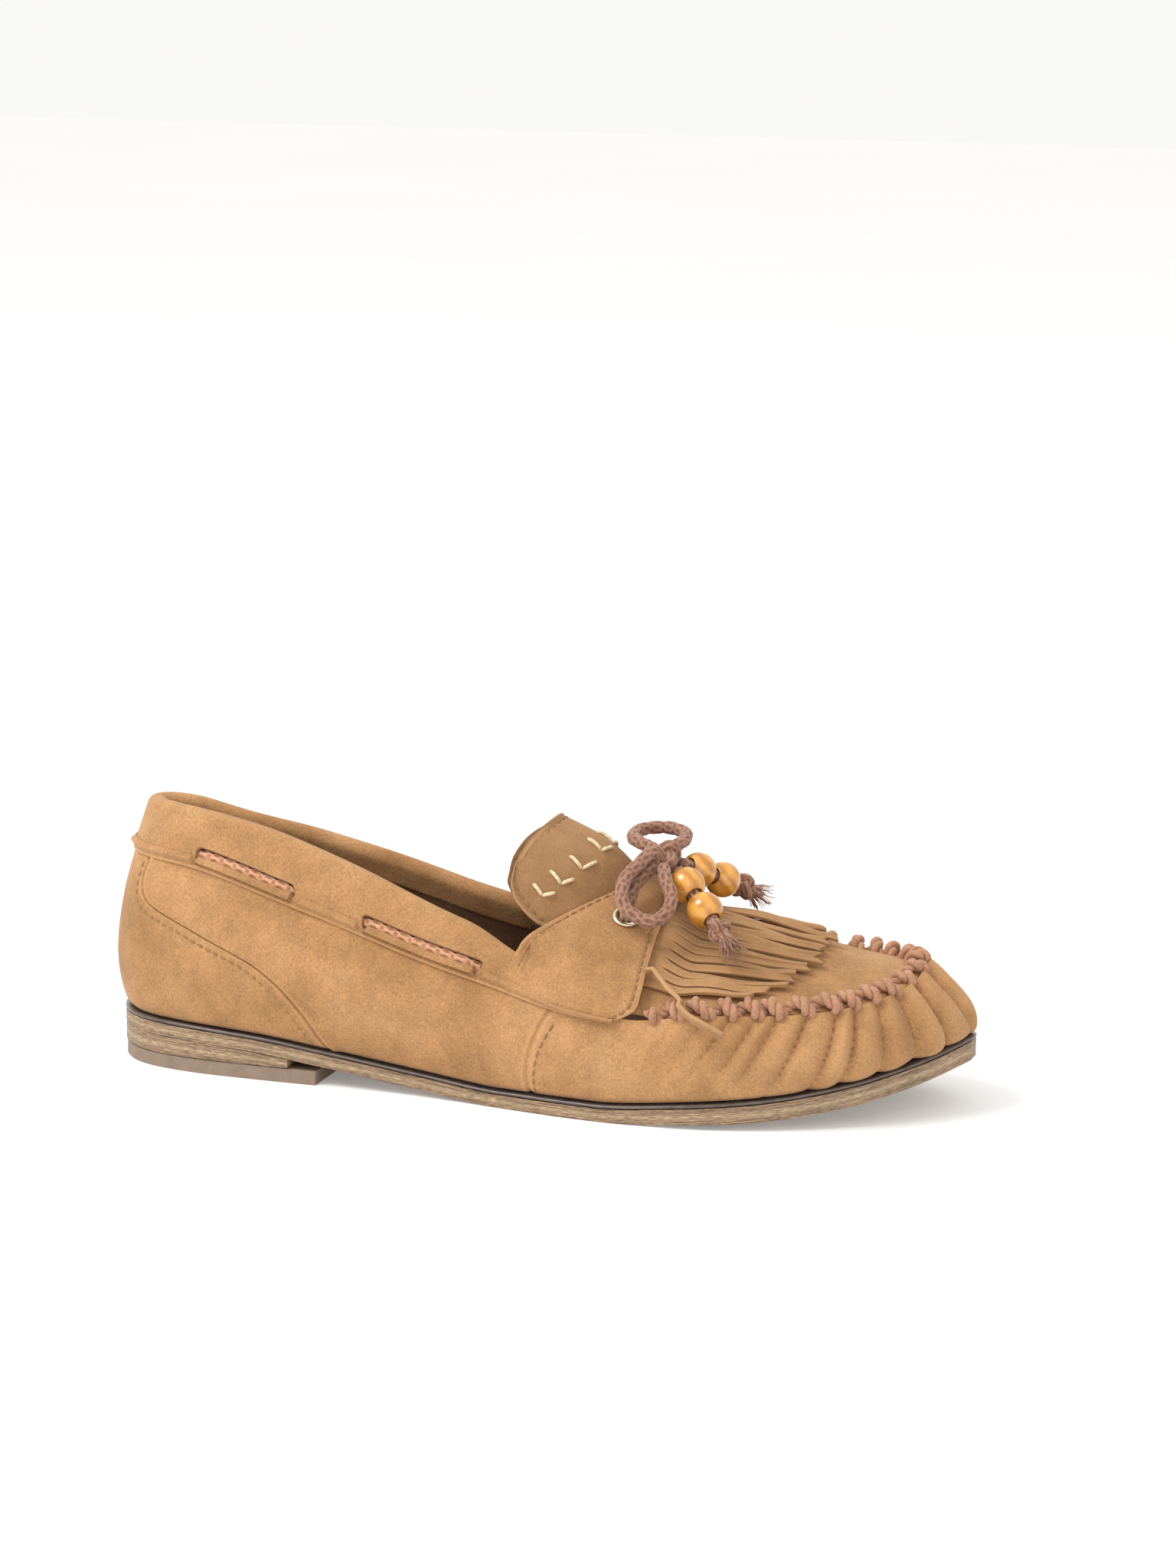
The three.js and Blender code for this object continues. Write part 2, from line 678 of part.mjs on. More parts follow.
// Where each strand ends, by its place across the apron.
const strandEnd = profile([
  [0, 198], [0.1, 201], [0.2, 207.5], [0.3, 212.5], [0.5, 215.5], [0.65, 214.5], [0.8, 210], [1, 200],
]);
const strandLift = 0.5; // strands lie this far above the apron
const strandStart = strapFront + 1.6;
const fringeHeaderEnd = strandStart + 2.4;

function strandPanel(low, high, to, count, inset) {
  const at = (a, b, offset) => apron(mix(strandStart + inset, to, a), mix(low, high, b), offset);
  return panel(at, strandLift + fringeThickness - inset, strandLift + inset, count, 1);
}

const strandCount = 21;
const strandShare = (i) => 0.105 + strandPitch * (i + 0.5);
const bridgeInset = 0.2; // the bridge between two strands is this much thinner on each face

// Strands cut into one piece of suede, which holds them together along the strap.
function fringeGroup(first, last) {
  const half = (strandPitch * strandFill) / 2;
  const parts = [];
  for (let i = first; i <= last; i += 1) {
    const centre = strandShare(i);
    parts.push(strandPanel(centre - half, centre + half, strandEnd(centre), 4, 0));
    if (i < last) parts.push(strandPanel(centre, strandShare(i + 1), fringeHeaderEnd, 1, bridgeInset));
  }
  return joined(parts);
}

// One loose strand falls outwards over the whip seam.
function strayStrand() {
  const route = [
    [171.7, -32.6, 42.3], [176.3, -36.2, 39.1], [181, -40, 36.5], [185.6, -42.9, 33.4], [190.6, -44.6, 31.3],
    [196.7, -45.6, 28.7],
  ];
  const path = route.map((p) => stretched(...p));
  const at = (a, b, offset) => {
    const place = alongRow(path, a);
    const before = alongRow(path, Math.max(a - 0.02, 0));
    const along = alongRow(path, Math.min(a + 0.02, 1)).sub(before).normalize();
    const across = vector(0.35, -0.65, -0.67).cross(along).normalize();
    const normal = along.clone().cross(across).normalize();
    return place.addScaledVector(across, (b - 0.5) * 3.2).addScaledVector(normal, offset);
  };
  return panel(at, fringeThickness / 2, -fringeThickness / 2, 10, 1);
}

function fringeHeader() {
  const [low, high] = [strandShare(0), strandShare(strandCount - 1)];
  const at = (a, b, offset) => apron(mix(164.5, strapFront + 0.9, a), mix(low, high, b), offset);
  return panel(at, strandLift + fringeThickness, strandLift, 2, 16);
}

// ---- tongue ----
const tongueRows = [
  [[160.3, -13.5, 50.2], [162.7, -7, 53.2], [164.7, 2, 55.6], [164.1, 10, 55.1], [162.2, 17, 51.7]],
  [[138.8, -21.5, 50.3], [148, -14, 54.5], [157.4, 3, 62.2], [154.6, 15, 60.2], [144.1, 23, 52.3]],
  [[129.2, -23.8, 57.6], [139.6, -15, 64.9], [147.4, 2, 72.9], [143, 15, 67.9], [133.1, 24, 57.3]],
  [[126.3, -23.5, 65.8], [129.2, -13, 74.2], [133.8, 1, 79.5], [130.4, 14, 74.5], [127.4, 23.5, 65.3]],
].map((row) => row.map((p) => stretched(...p)));
const tongueSheet = sheet(tongueRows);
const tongueSurface = (a, b, offset) => tongueSheet(a, b, -offset);
const tongueFold = 0.41; // share of the tongue's length where it comes out from under the strap
const tongueCorner = 0.12; // share of its length that its end corners round off

function tonguePart(from, to, outer, inner, trim) {
  const at = (a, b, offset) => {
    const place = mix(from, to, b);
    const past = Math.max(place - (1 - tongueCorner), 0) / tongueCorner;
    const half = (0.5 - trim) * (1 - 0.22 * (1 - Math.sqrt(Math.max(1 - past * past, 0))));
    return tongueSurface(0.5 + (2 * a - 1) * half, place, offset);
  };
  return panel(at, outer, inner, 10, 5);
}

const liningOuter = -upperThickness - 3 * gap;
const tongueLeather = () => tonguePart(tongueFold, 1, 0, -upperThickness, 0);
const tongueBase = () => tonguePart(0.06, tongueFold - 0.02, 0, -upperThickness, 0.04);
const liningInner = liningOuter - liningThickness;
const tongueLining = () => tonguePart(tongueFold + 0.02, 0.98, liningOuter, liningInner, 0.02);

// Hand stitches in the tongue: each is two legs that meet in a point towards the near edge.
const chevronCount = 8;
const chevronRow = 0.64; // along the tongue
const chevronLeg = { across: 0.052, along: 0.1 };

function chevron(i) {
  const centre = mix(0.13, 0.87, i / (chevronCount - 1));
  const raised = threadDiameter / 2 + gap;
  const point = (da, db) => tongueSurface(centre + da, chevronRow + db, raised);
  const [up, tip, down] = [
    point(-0.2 * chevronLeg.across, chevronLeg.along),
    point(-0.2 * chevronLeg.across, -0.25 * chevronLeg.along),
    point(chevronLeg.across, -0.55 * chevronLeg.along),
  ];
  const legs = [[up, tip], [tip, down]].map(([from, to]) => {
    const past = to.clone().sub(from).normalize().multiplyScalar(0.3);
    return tube([from.clone().sub(past), to.clone().add(past)], threadDiameter, 4, 1);
  });
  return joined(legs);
}

// ---- lace ----
function ringSection(place, along, normal, wide, thick) {
  const across = along.clone().cross(normal).normalize();
  return [0, 1, 2, 3, 4, 5, 6, 7].map((k) => {
    const angle = (Math.PI * (k + 0.5)) / 4;
    const p = place.clone().addScaledVector(across, (wide / 2) * Math.cos(angle));
    return p.addScaledVector(normal, (thick / 2) * Math.sin(angle));
  });
}

function collarLace() {
  const depth = rollOut - upperThickness - gap - laceFlat / 2;
  const start = innerStation(throat + 2);
  const end = outerStation(throat + 2);
  const sections = steps(34).map((t) => {
    const s = mix(start, end, t);
    const place = wall(s, laceShare(s), depth);
    const along = wall(s + 0.02, laceShare(s + 0.02), depth).sub(place).normalize();
    return ringSection(place, along, wallFrame(s, laceShare(s)).normal, laceDiameter, laceFlat);
  });
  return sweep(sections);
}

const knotCentre = [166.4, -0.9, 69.7];
// Each lead rises through its eyelet and runs to the knot.
const leads = {
  lateral: { eyelet: outerEyelet, route: [[161.4, -14, 62.6], [163.2, -9.4, 65.6], [164.2, -6.6, 66.9]] },
  medial: { eyelet: innerEyelet, route: [[164.4, 18, 64.6], [165, 12, 66.2], [165.6, 4.6, 68]] },
};

function leadRoute({ eyelet: share, route }) {
  const { centre, normal } = eyeletAxis(share);
  const through = [-1.8, 2.4].map((rise) => centre.clone().addScaledVector(normal, rise));
  return [...through, ...route.map((p) => vector(...p))];
}

const loops = {
  lateral: [
    [163.8, -6.7, 71.5], [162.3, -11.5, 69.4], [159.9, -17, 66.3], [159.8, -21.8, 62.6], [161.8, -24.6, 58.9],
    [166.2, -25.6, 56.4], [170.6, -24.8, 55.7], [173.5, -21.5, 58.1], [173.5, -17.5, 61.8],
    [170.5, -13.3, 65.6], [168.3, -7.4, 67.6],
  ],
  medial: [
    [161, 0.9, 72], [158.4, 2.8, 72.4], [154.9, 7, 72.8], [154.4, 13.4, 73.5], [157.2, 18.4, 73.8],
    [162.6, 20.2, 73.8], [168, 17, 73.2], [169.4, 11.5, 72.4], [169.2, 8, 72.2], [168.8, 4.3, 72],
  ],
};
// Each tail leaves the bow's knot a short lead before its first bead and runs straight through both.
const tails = {
  lateral: { lead: 1.1, bead: [175, -5.9, 62.7], run: [0.645, -0.582, -0.5] },
  medial: { lead: 2.4, bead: [174.6, 8.1, 64.3], run: [0.456, 0.803, -0.383] },
};
const beadStep = beadDiameter + 0.4;

function tailPoint(side, distance) {
  const { bead, run } = tails[side];
  return vector(...bead).addScaledVector(vector(...run).normalize(), distance);
}

function tailCord(side) {
  const start = -beadDiameter / 2 - tails[side].lead;
  const end = beadStep + beadDiameter / 2 + gap;
  return tube([tailPoint(side, start), tailPoint(side, end)], laceDiameter, 8, 3);
}

function bead(side, number) {
  const bore = laceDiameter / 2 + gap;
  const radius = beadDiameter / 2;
  const reach = Math.acos(bore / radius);
  const outline = steps(8).map((t) => {
    const angle = mix(-reach, reach, t);
    return new THREE.Vector2(radius * Math.cos(angle), radius * Math.sin(angle));
  });
  outline.push(outline[0].clone());
  const ball = new THREE.LatheGeometry(outline, 14);
  const direction = vector(...tails[side].run).normalize();
  return standing(ball, tailPoint(side, number * beadStep), direction);
}

// The knot that stops the beads, with the lace's frayed end past it.
function tailKnot(side) {
  const r = endKnotRadius;
  const outline = [
    [0.01, -r], [0.6 * r, -0.82 * r], [r, 0], [0.62 * r, 0.8 * r], [0.6 * r, 1.1 * r], [0.8 * r, 2.1 * r],
    [0.75 * r, 2.9 * r], [0.01, 2.9 * r],
  ].map(([x, y]) => new THREE.Vector2(x === 0.01 ? 0 : x, y));
  const direction = vector(...tails[side].run).normalize();
  const place = tailPoint(side, beadStep + beadDiameter / 2 + 2 * gap + r);
  return standing(new THREE.LatheGeometry(outline, 12), place, direction);
}

function laceKnot() {
  const ball = new THREE.SphereGeometry(knotRadius, 12, 8);
  return ball.translate(...knotCentre);
}

// ---- finishes and assembly ----
const finish = (color, roughness, metalness = 0) => ({ color, roughness, metalness });
const suede = finish(0xb98650, 0.95);
const tongueSuede = finish(0xa9794c, 0.95);
const liningCloth = finish(0x6b4a33, 0.95);
const board = finish(0xa08c6c, 0.9);
const steel = finish(0x8a8d90, 0.35, 1);
const soleEdgeStack = finish(0x8a6a48, 0.7);
const randBrown = finish(0x4d3526, 0.55);
const liftRubber = finish(0x84705c, 0.75);
const cotton = finish(0xa8755a, 0.95);
const thread = finish(0xead9b2, 0.8);
const paleMetal = finish(0xd8cba6, 0.25, 1);
const amberWood = finish(0xc98a2a, 0.25);

const shoe = new THREE.Group();
function add(name, geometry, look) {
  const mesh = new THREE.Mesh(geometry, new THREE.MeshStandardMaterial(look));
  mesh.name = name;
  shoe.add(mesh);
}

add('heel_lift', heelLift(), liftRubber);
add('heel_wedge', heelWedge(), soleEdgeStack);
add('outsole', outsole(), soleEdgeStack);
add('rand', rand(), randBrown);
add('bottom_filler', bottomFiller(), board);
add('shank', shankBar(0), steel);
add('insole_board', insoleBoard(), board);
add('sock_liner', sockLiner(), liningCloth);
add('heel_counter', heelCounter(), suede);
add('heel_stiffener', heelStiffener(), board);
add('quarter_lateral', quarter(-1), suede);
add('quarter_medial', quarter(1), suede);
add('quarter_lining', quarterLining(), liningCloth);
add('toe_vamp', toeVamp(), suede);
add('toe_puff', toePuff(), board);
add('vamp_lining', vampLining(), liningCloth);
add('apron', apronLeather(), suede);
add('apron_lining', apronLining(), liningCloth);
add('seam_cord', seamCord(), cotton);
add('saddle_collar', saddleCollar(), suede);
add('tongue_base', tongueBase(), tongueSuede);
add('tongue', tongueLeather(), tongueSuede);
add('tongue_lining', tongueLining(), liningCloth);
for (let i = 0; i < chevronCount; i += 1) add(`tongue_stitch_${i + 1}`, chevron(i), thread);
add('fringe_header', fringeHeader(), tongueSuede);
add('fringe_lateral', fringeGroup(0, 2), tongueSuede);
add('fringe_stray', strayStrand(), tongueSuede);
add('fringe_middle', fringeGroup(3, 14), tongueSuede);
add('fringe_medial', fringeGroup(15, strandCount - 1), tongueSuede);
add('eyelet_lateral', eyelet(outerEyelet), paleMetal);
add('eyelet_medial', eyelet(innerEyelet), paleMetal);
add('collar_lace', collarLace(), cotton);
add('lace_knot', laceKnot(), cotton);
for (const side of Object.keys(tails)) {
  add(`lace_lead_${side}`, tube(leadRoute(leads[side]), laceDiameter, 8, 7), cotton);
  add(`lace_loop_${side}`, tube(loops[side].map((p) => vector(...p)), laceDiameter, 8, 15), cotton);
}
for (const side of Object.keys(tails)) {
  add(`lace_tail_${side}`, tailCord(side), cotton);
  add(`bead_${side}_1`, bead(side, 0), amberWood);
  add(`bead_${side}_2`, bead(side, 1), amberWood);
  add(`tail_knot_${side}`, tailKnot(side), cotton);
}

// The origin is the bottom centre of the whole shoe's box.
const box = new THREE.Box3().setFromObject(shoe);
const centre = box.getCenter(vector(0, 0, 0));
shoe.position.set(-centre.x, -centre.y, -box.min.z);

export default shoe;
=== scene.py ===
import math
import bpy
import numpy as np
from mathutils import Matrix, Vector


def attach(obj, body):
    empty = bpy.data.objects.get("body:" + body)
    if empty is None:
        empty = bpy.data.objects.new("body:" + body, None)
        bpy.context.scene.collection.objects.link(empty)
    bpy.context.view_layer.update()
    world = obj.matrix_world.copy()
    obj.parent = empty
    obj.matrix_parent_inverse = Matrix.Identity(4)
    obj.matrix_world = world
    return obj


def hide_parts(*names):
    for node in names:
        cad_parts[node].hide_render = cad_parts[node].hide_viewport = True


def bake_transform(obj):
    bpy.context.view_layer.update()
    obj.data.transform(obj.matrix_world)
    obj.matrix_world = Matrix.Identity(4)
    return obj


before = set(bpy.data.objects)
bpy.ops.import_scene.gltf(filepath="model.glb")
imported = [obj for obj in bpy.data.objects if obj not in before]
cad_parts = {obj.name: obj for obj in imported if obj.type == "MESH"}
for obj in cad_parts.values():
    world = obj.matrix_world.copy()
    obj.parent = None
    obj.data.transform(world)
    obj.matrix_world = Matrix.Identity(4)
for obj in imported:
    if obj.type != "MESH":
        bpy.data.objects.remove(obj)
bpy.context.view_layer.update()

print("frame loaded")

# The shoe is drawn in millimetres with the heel's back at x = 0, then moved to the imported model's place.
drawing = {"shift": (-127.73, 1.80, 0.0)}


def place(points):
    return (np.asarray(points, float) + drawing["shift"]) * 0.001


# ---------- camera ----------
camera = {
    "position": (0.40010, -1.30271, 0.34993),
    "azimuth": 16.43584,
    "elevation": 10.84782,
    "roll": 0.012,
    "lens": 109.18,
}


def makeCamera():
    az, el = math.radians(camera["azimuth"]), math.radians(camera["elevation"])
    back = Vector((math.sin(az) * math.cos(el), -math.cos(az) * math.cos(el), math.sin(el)))
    right = Vector((math.cos(az), math.sin(az), 0))
    up = back.cross(right)
    turn = camera["roll"]
    right, up = right * math.cos(turn) + up * math.sin(turn), up * math.cos(turn) - right * math.sin(turn)
    data = bpy.data.cameras.new("shoeCamera")
    data.lens = camera["lens"]
    data.sensor_width = 36
    data.clip_start, data.clip_end = 0.05, 20
    cam = bpy.data.objects.new("shoeCamera", data)
    bpy.context.scene.collection.objects.link(cam)
    cam.matrix_world = Matrix((
        (right.x, up.x, back.x, camera["position"][0]),
        (right.y, up.y, back.y, camera["position"][1]),
        (right.z, up.z, back.z, camera["position"][2]),
        (0, 0, 0, 1),
    ))
    bpy.context.scene.camera = cam


makeCamera()
print("camera made")


# ---------- node materials ----------
def newMaterial(name):
    mat = bpy.data.materials.new(name)
    mat.use_nodes = True
    nodes = mat.node_tree.nodes
    return mat, nodes, mat.node_tree.links, nodes["Principled BSDF"]


def addNoise(nodes, links, source, scale, detail=4.0, roughness=0.5, stretch=None):
    noise = nodes.new("ShaderNodeTexNoise")
    noise.inputs["Scale"].default_value = scale
    noise.inputs["Detail"].default_value = detail
    noise.inputs["Roughness"].default_value = roughness
    if stretch:
        mapping = nodes.new("ShaderNodeMapping")
        mapping.inputs["Scale"].default_value = stretch
        links.new(source, mapping.inputs["Vector"])
        links.new(mapping.outputs["Vector"], noise.inputs["Vector"])
    else:
        links.new(source, noise.inputs["Vector"])
    return noise.outputs["Fac"]


def addRamp(nodes, links, source, stops):
    ramp = nodes.new("ShaderNodeValToRGB")
    while len(ramp.color_ramp.elements) < len(stops):
        ramp.color_ramp.elements.new(0.5)
    for element, (at, colour) in zip(ramp.color_ramp.elements, stops):
        element.position = at
        element.color = (*colour, 1) if len(colour) == 3 else colour
    links.new(source, ramp.inputs["Fac"])
    return ramp.outputs["Color"]


def addMix(nodes, links, kind, factor, a, b):
    mix = nodes.new("ShaderNodeMix")
    mix.data_type = "RGBA"
    mix.blend_type = kind
    if isinstance(factor, (int, float)):
        mix.inputs[0].default_value = factor
    else:
        links.new(factor, mix.inputs[0])
    for socket, value in ((mix.inputs[6], a), (mix.inputs[7], b)):
        if isinstance(value, tuple):
            socket.default_value = (*value, 1)
        else:
            links.new(value, socket)
    return mix.outputs[2]


def addBump(nodes, links, height, distance, strength=1.0, after=None):
    bump = nodes.new("ShaderNodeBump")
    bump.inputs["Distance"].default_value = distance
    bump.inputs["Strength"].default_value = strength
    links.new(height, bump.inputs["Height"])
    if after:
        links.new(after, bump.inputs["Normal"])
    return bump.outputs["Normal"]


def setInputs(shader, values):
    for socket, value in values.items():
        shader.inputs[socket].default_value = value


def objectPlace(nodes):
    return nodes.new("ShaderNodeTexCoord").outputs["Object"]


# Napped suede: broad brushed patches, mottling and a fine speckle, paler as its vertex attribute rises. That
# attribute holds the raw cut edges' own paler colour, painted highlights along the panel seams and on the
# gathers' crests, and a paler shoulder on the collar roll.
def suedeMaterial(name, dark, mid, light, speckle=0.16, nap=0.00022, sheen=0.25):
    mat, nodes, links, shader = newMaterial(name)
    here = objectPlace(nodes)
    patches = addNoise(nodes, links, here, 32, 3, 0.55)
    mottle = addNoise(nodes, links, here, 150, 4, 0.6)
    fine = addNoise(nodes, links, here, 1500, 3, 0.7)
    grain = addNoise(nodes, links, here, 700, 2, 0.6)
    colour = addRamp(nodes, links, patches, [(0.30, dark), (0.5, mid), (0.72, light)])
    spots = addRamp(nodes, links, mottle, [(0.3, (0.40, 0.40, 0.40)), (0.7, (0.60, 0.60, 0.60))])
    colour = addMix(nodes, links, "OVERLAY", 0.55, colour, spots)
    grit = addRamp(nodes, links, fine, [(0.34, (0.18, 0.18, 0.18)), (0.66, (0.82, 0.82, 0.82))])
    colour = addMix(nodes, links, "OVERLAY", speckle, colour, grit)
    # the attribute read here is the raw cut edges' own paler colour plus painted highlights; it lightens the
    # suede towards the pale colour below
    toneAndPaintedLight = nodes.new("ShaderNodeAttribute")
    toneAndPaintedLight.attribute_name = "toneAndPaintedLight"
    edgeAndHighlightMix = addRamp(nodes, links, toneAndPaintedLight.outputs["Fac"], [(0.0, (0, 0, 0)), (1.0, (1, 1, 1))])
    pale = tuple(min(1.0, c * 1.28 + 0.01) for c in light)
    colour = addMix(nodes, links, "MIX", edgeAndHighlightMix, colour, pale)
    links.new(colour, shader.inputs["Base Color"])
    setInputs(shader, {"Roughness": 0.92, "Specular IOR Level": 0.12, "Sheen Weight": sheen,
                       "Sheen Roughness": 0.45, "Sheen Tint": (1.0, 0.83, 0.62, 1)})
    bump = addBump(nodes, links, fine, nap, 0.75)
    bump = addBump(nodes, links, grain, nap * 1.3, 0.5, bump)
    links.new(bump, shader.inputs["Normal"])
    return mat


# Cotton cord: patchy and fuzzy, with painted shade darkening the braid's grooves, where its vertex attribute
# (the braid's relief) is low.
def cottonMaterial(name, dark, light):
    mat, nodes, links, shader = newMaterial(name)
    here = objectPlace(nodes)
    fuzz = addNoise(nodes, links, here, 1300, 4, 0.7)
    patches = addNoise(nodes, links, here, 180, 3, 0.6)
    colour = addRamp(nodes, links, patches, [(0.3, dark), (0.7, light)])
    grit = addRamp(nodes, links, fuzz, [(0.35, (0.2, 0.2, 0.2)), (0.65, (0.8, 0.8, 0.8))])
    colour = addMix(nodes, links, "OVERLAY", 0.3, colour, grit)
    # painted shade: the grooves between the braid's raised strands are darkened
    braidRelief = nodes.new("ShaderNodeAttribute")
    braidRelief.attribute_name = "toneAndPaintedLight"
    shade = addRamp(nodes, links, braidRelief.outputs["Fac"], [(0.0, (0.52, 0.48, 0.45)), (0.6, (1, 1, 1))])
    colour = addMix(nodes, links, "MULTIPLY", 0.85, colour, shade)
    links.new(colour, shader.inputs["Base Color"])
    setInputs(shader, {"Roughness": 0.95, "Specular IOR Level": 0.1, "Sheen Weight": 0.35,
                       "Sheen Roughness": 0.5, "Sheen Tint": (1.0, 0.85, 0.75, 1)})
    links.new(addBump(nodes, links, fuzz, 0.00035, 0.8), shader.inputs["Normal"])
    return mat


def threadMaterial(name, colour, rough=0.7):
    mat, nodes, links, shader = newMaterial(name)
    here = objectPlace(nodes)
    twist = addNoise(nodes, links, here, 1600, 2, 0.5)
    dark = tuple(c * 0.72 for c in colour)
    links.new(addRamp(nodes, links, twist, [(0.35, dark), (0.6, colour)]), shader.inputs["Base Color"])
    setInputs(shader, {"Roughness": rough, "Specular IOR Level": 0.3})
    links.new(addBump(nodes, links, twist, 0.0001, 0.6), shader.inputs["Normal"])
    return mat


# Stacked sole edge: fibres drawn out along the edge's own UVs, with a paler band at mid height.
def stackMaterial(name):
    mat, nodes, links, shader = newMaterial(name)
    uv = nodes.new("ShaderNodeUVMap")
    uv.uv_map = "UVMap"
    streaks = addNoise(nodes, links, uv.outputs["UV"], 1.0, 5, 0.65, (70, 2600, 1))
    fibres = addNoise(nodes, links, uv.outputs["UV"], 1.0, 3, 0.6, (420, 5200, 1))
    colour = addRamp(nodes, links, streaks, [
        (0.26, (0.055, 0.035, 0.022)), (0.42, (0.17, 0.11, 0.066)), (0.56, (0.30, 0.20, 0.115)),
        (0.74, (0.46, 0.33, 0.20))])
    band = nodes.new("ShaderNodeAttribute")
    band.attribute_name = "toneAndPaintedLight"
    colour = addMix(nodes, links, "MIX", band.outputs["Fac"], colour, (0.43, 0.31, 0.19))
    grit = addRamp(nodes, links, fibres, [(0.38, (0.12, 0.12, 0.12)), (0.6, (0.8, 0.8, 0.8))])
    colour = addMix(nodes, links, "OVERLAY", 0.6, colour, grit)
    links.new(colour, shader.inputs["Base Color"])
    setInputs(shader, {"Roughness": 0.55, "Specular IOR Level": 0.35})
    links.new(addBump(nodes, links, fibres, 0.00012, 0.6), shader.inputs["Normal"])
    return mat


def plainMaterial(name, dark, light, scale, rough, bumpDepth, coat=0.0, metal=0.0, specular=0.5):
    mat, nodes, links, shader = newMaterial(name)
    here = objectPlace(nodes)
    broad = addNoise(nodes, links, here, scale, 4, 0.6)
    fine = addNoise(nodes, links, here, scale * 9, 3, 0.6)
    links.new(addRamp(nodes, links, broad, [(0.32, dark), (0.68, light)]), shader.inputs["Base Color"])
    setInputs(shader, {"Roughness": rough, "Metallic": metal, "Specular IOR Level": specular,
                       "Coat Weight": coat, "Coat Roughness": 0.08})
    links.new(addBump(nodes, links, fine, bumpDepth, 0.5), shader.inputs["Normal"])
    return mat


# Lacquered wood, with slanting growth rings.
def beadMaterial(name):
    mat, nodes, links, shader = newMaterial(name)
    here = objectPlace(nodes)
    rings = nodes.new("ShaderNodeTexWave")
    rings.wave_type = "BANDS"
    rings.bands_direction = "DIAGONAL"
    rings.inputs["Scale"].default_value = 95
    rings.inputs["Distortion"].default_value = 5.5
    rings.inputs["Detail"].default_value = 3
    rings.inputs["Detail Scale"].default_value = 1.4
    links.new(here, rings.inputs["Vector"])
    flecks = addNoise(nodes, links, here, 420, 4, 0.6)
    colour = addRamp(nodes, links, rings.outputs["Fac"], [
        (0.1, (0.50, 0.20, 0.022)), (0.5, (0.62, 0.27, 0.032)), (0.9, (0.72, 0.34, 0.05))])
    spots = addRamp(nodes, links, flecks, [(0.35, (0.38, 0.38, 0.38)), (0.65, (0.6, 0.6, 0.6))])
    colour = addMix(nodes, links, "OVERLAY", 0.4, colour, spots)
    links.new(colour, shader.inputs["Base Color"])
    setInputs(shader, {"Roughness": 0.3, "Coat Weight": 0.8, "Coat Roughness": 0.12})
    links.new(addBump(nodes, links, flecks, 0.00004, 0.4), shader.inputs["Normal"])
    return mat


finishes = {
    "suede": suedeMaterial("camelSuede", (0.31, 0.158, 0.064), (0.39, 0.205, 0.088), (0.47, 0.260, 0.120),
                           speckle=0.32),
    "tongue": suedeMaterial("tongueSuede", (0.26, 0.138, 0.062), (0.32, 0.174, 0.079), (0.38, 0.21, 0.098)),
    "strand": suedeMaterial("fringeSuede", (0.27, 0.142, 0.062), (0.36, 0.196, 0.086), (0.44, 0.25, 0.115)),
    "lining": suedeMaterial("liningSuede", (0.12, 0.062, 0.034), (0.165, 0.088, 0.048), (0.21, 0.115, 0.064),
                            sheen=0.15),
    "lace": cottonMaterial("laceCotton", (0.30, 0.150, 0.098), (0.40, 0.215, 0.145)),
    "rope": cottonMaterial("whipCotton", (0.38, 0.185, 0.105), (0.52, 0.275, 0.165)),
    "collarLace": cottonMaterial("collarLaceCotton", (0.55, 0.27, 0.145), (0.68, 0.36, 0.21)),
    "chevron": threadMaterial("creamThread", (0.80, 0.64, 0.40)),
    "stitch": threadMaterial("tanThread", (0.33, 0.175, 0.075)),
    "stack": stackMaterial("stackedEdge"),
    "rand": plainMaterial("randEdge", (0.060, 0.042, 0.036), (0.115, 0.080, 0.068), 300, 0.3, 0.00003, 0.4),
    "lift": plainMaterial("liftRubber", (0.215, 0.152, 0.108), (0.27, 0.198, 0.145), 260, 0.7, 0.00006),
    "board": plainMaterial("insoleBoard", (0.30, 0.22, 0.14), (0.40, 0.30, 0.20), 200, 0.9, 0.00006),
    "steel": plainMaterial("shankSteel", (0.35, 0.35, 0.36), (0.45, 0.45, 0.46), 200, 0.35, 0.00002,
                           metal=1.0),
    "eyelet": plainMaterial("paleBrass", (0.80, 0.70, 0.50), (0.92, 0.84, 0.66), 250, 0.16, 0.000005,
                            metal=1.0),
    "bead": beadMaterial("amberWood"),
}
print("finishes made")


# ---------- mesh helpers ----------
def onlyThis(obj):
    bpy.ops.object.select_all(action="DESELECT")
    obj.select_set(True)
    bpy.context.view_layer.objects.active = obj


def addMesh(name, verts, faces, uvs=None, toneAndPaintedLight=None):
    mesh = bpy.data.meshes.new(name)
    mesh.from_pydata(np.asarray(verts).tolist(), [], faces)
    if uvs is not None:
        layer = mesh.uv_layers.new(name="UVMap")
        corners = np.empty(len(mesh.loops), int)
        mesh.loops.foreach_get("vertex_index", corners)
        layer.data.foreach_set("uv", np.asarray(uvs, float)[corners].ravel())
    if toneAndPaintedLight is not None:
        attribute = mesh.attributes.new("toneAndPaintedLight", "FLOAT", "POINT")
        attribute.data.foreach_set("value", np.asarray(toneAndPaintedLight, float).ravel())
    mesh.validate()
    obj = bpy.data.objects.new(name, mesh)
    bpy.context.scene.collection.objects.link(obj)
    return obj


def gridFaces(rows, columns, closeRows=False, closeColumns=False, skip=None, start=0):
    faces = []
    for i in range(rows if closeRows else rows - 1):
        for j in range(columns if closeColumns else columns - 1):
            if skip is not None and skip[i, j]:
                continue
            a = i * columns + j
            b = i * columns + (j + 1) % columns
            c = ((i + 1) % rows) * columns + (j + 1) % columns
            d = ((i + 1) % rows) * columns + j
            faces.append((start + a, start + b, start + c, start + d))
    return faces


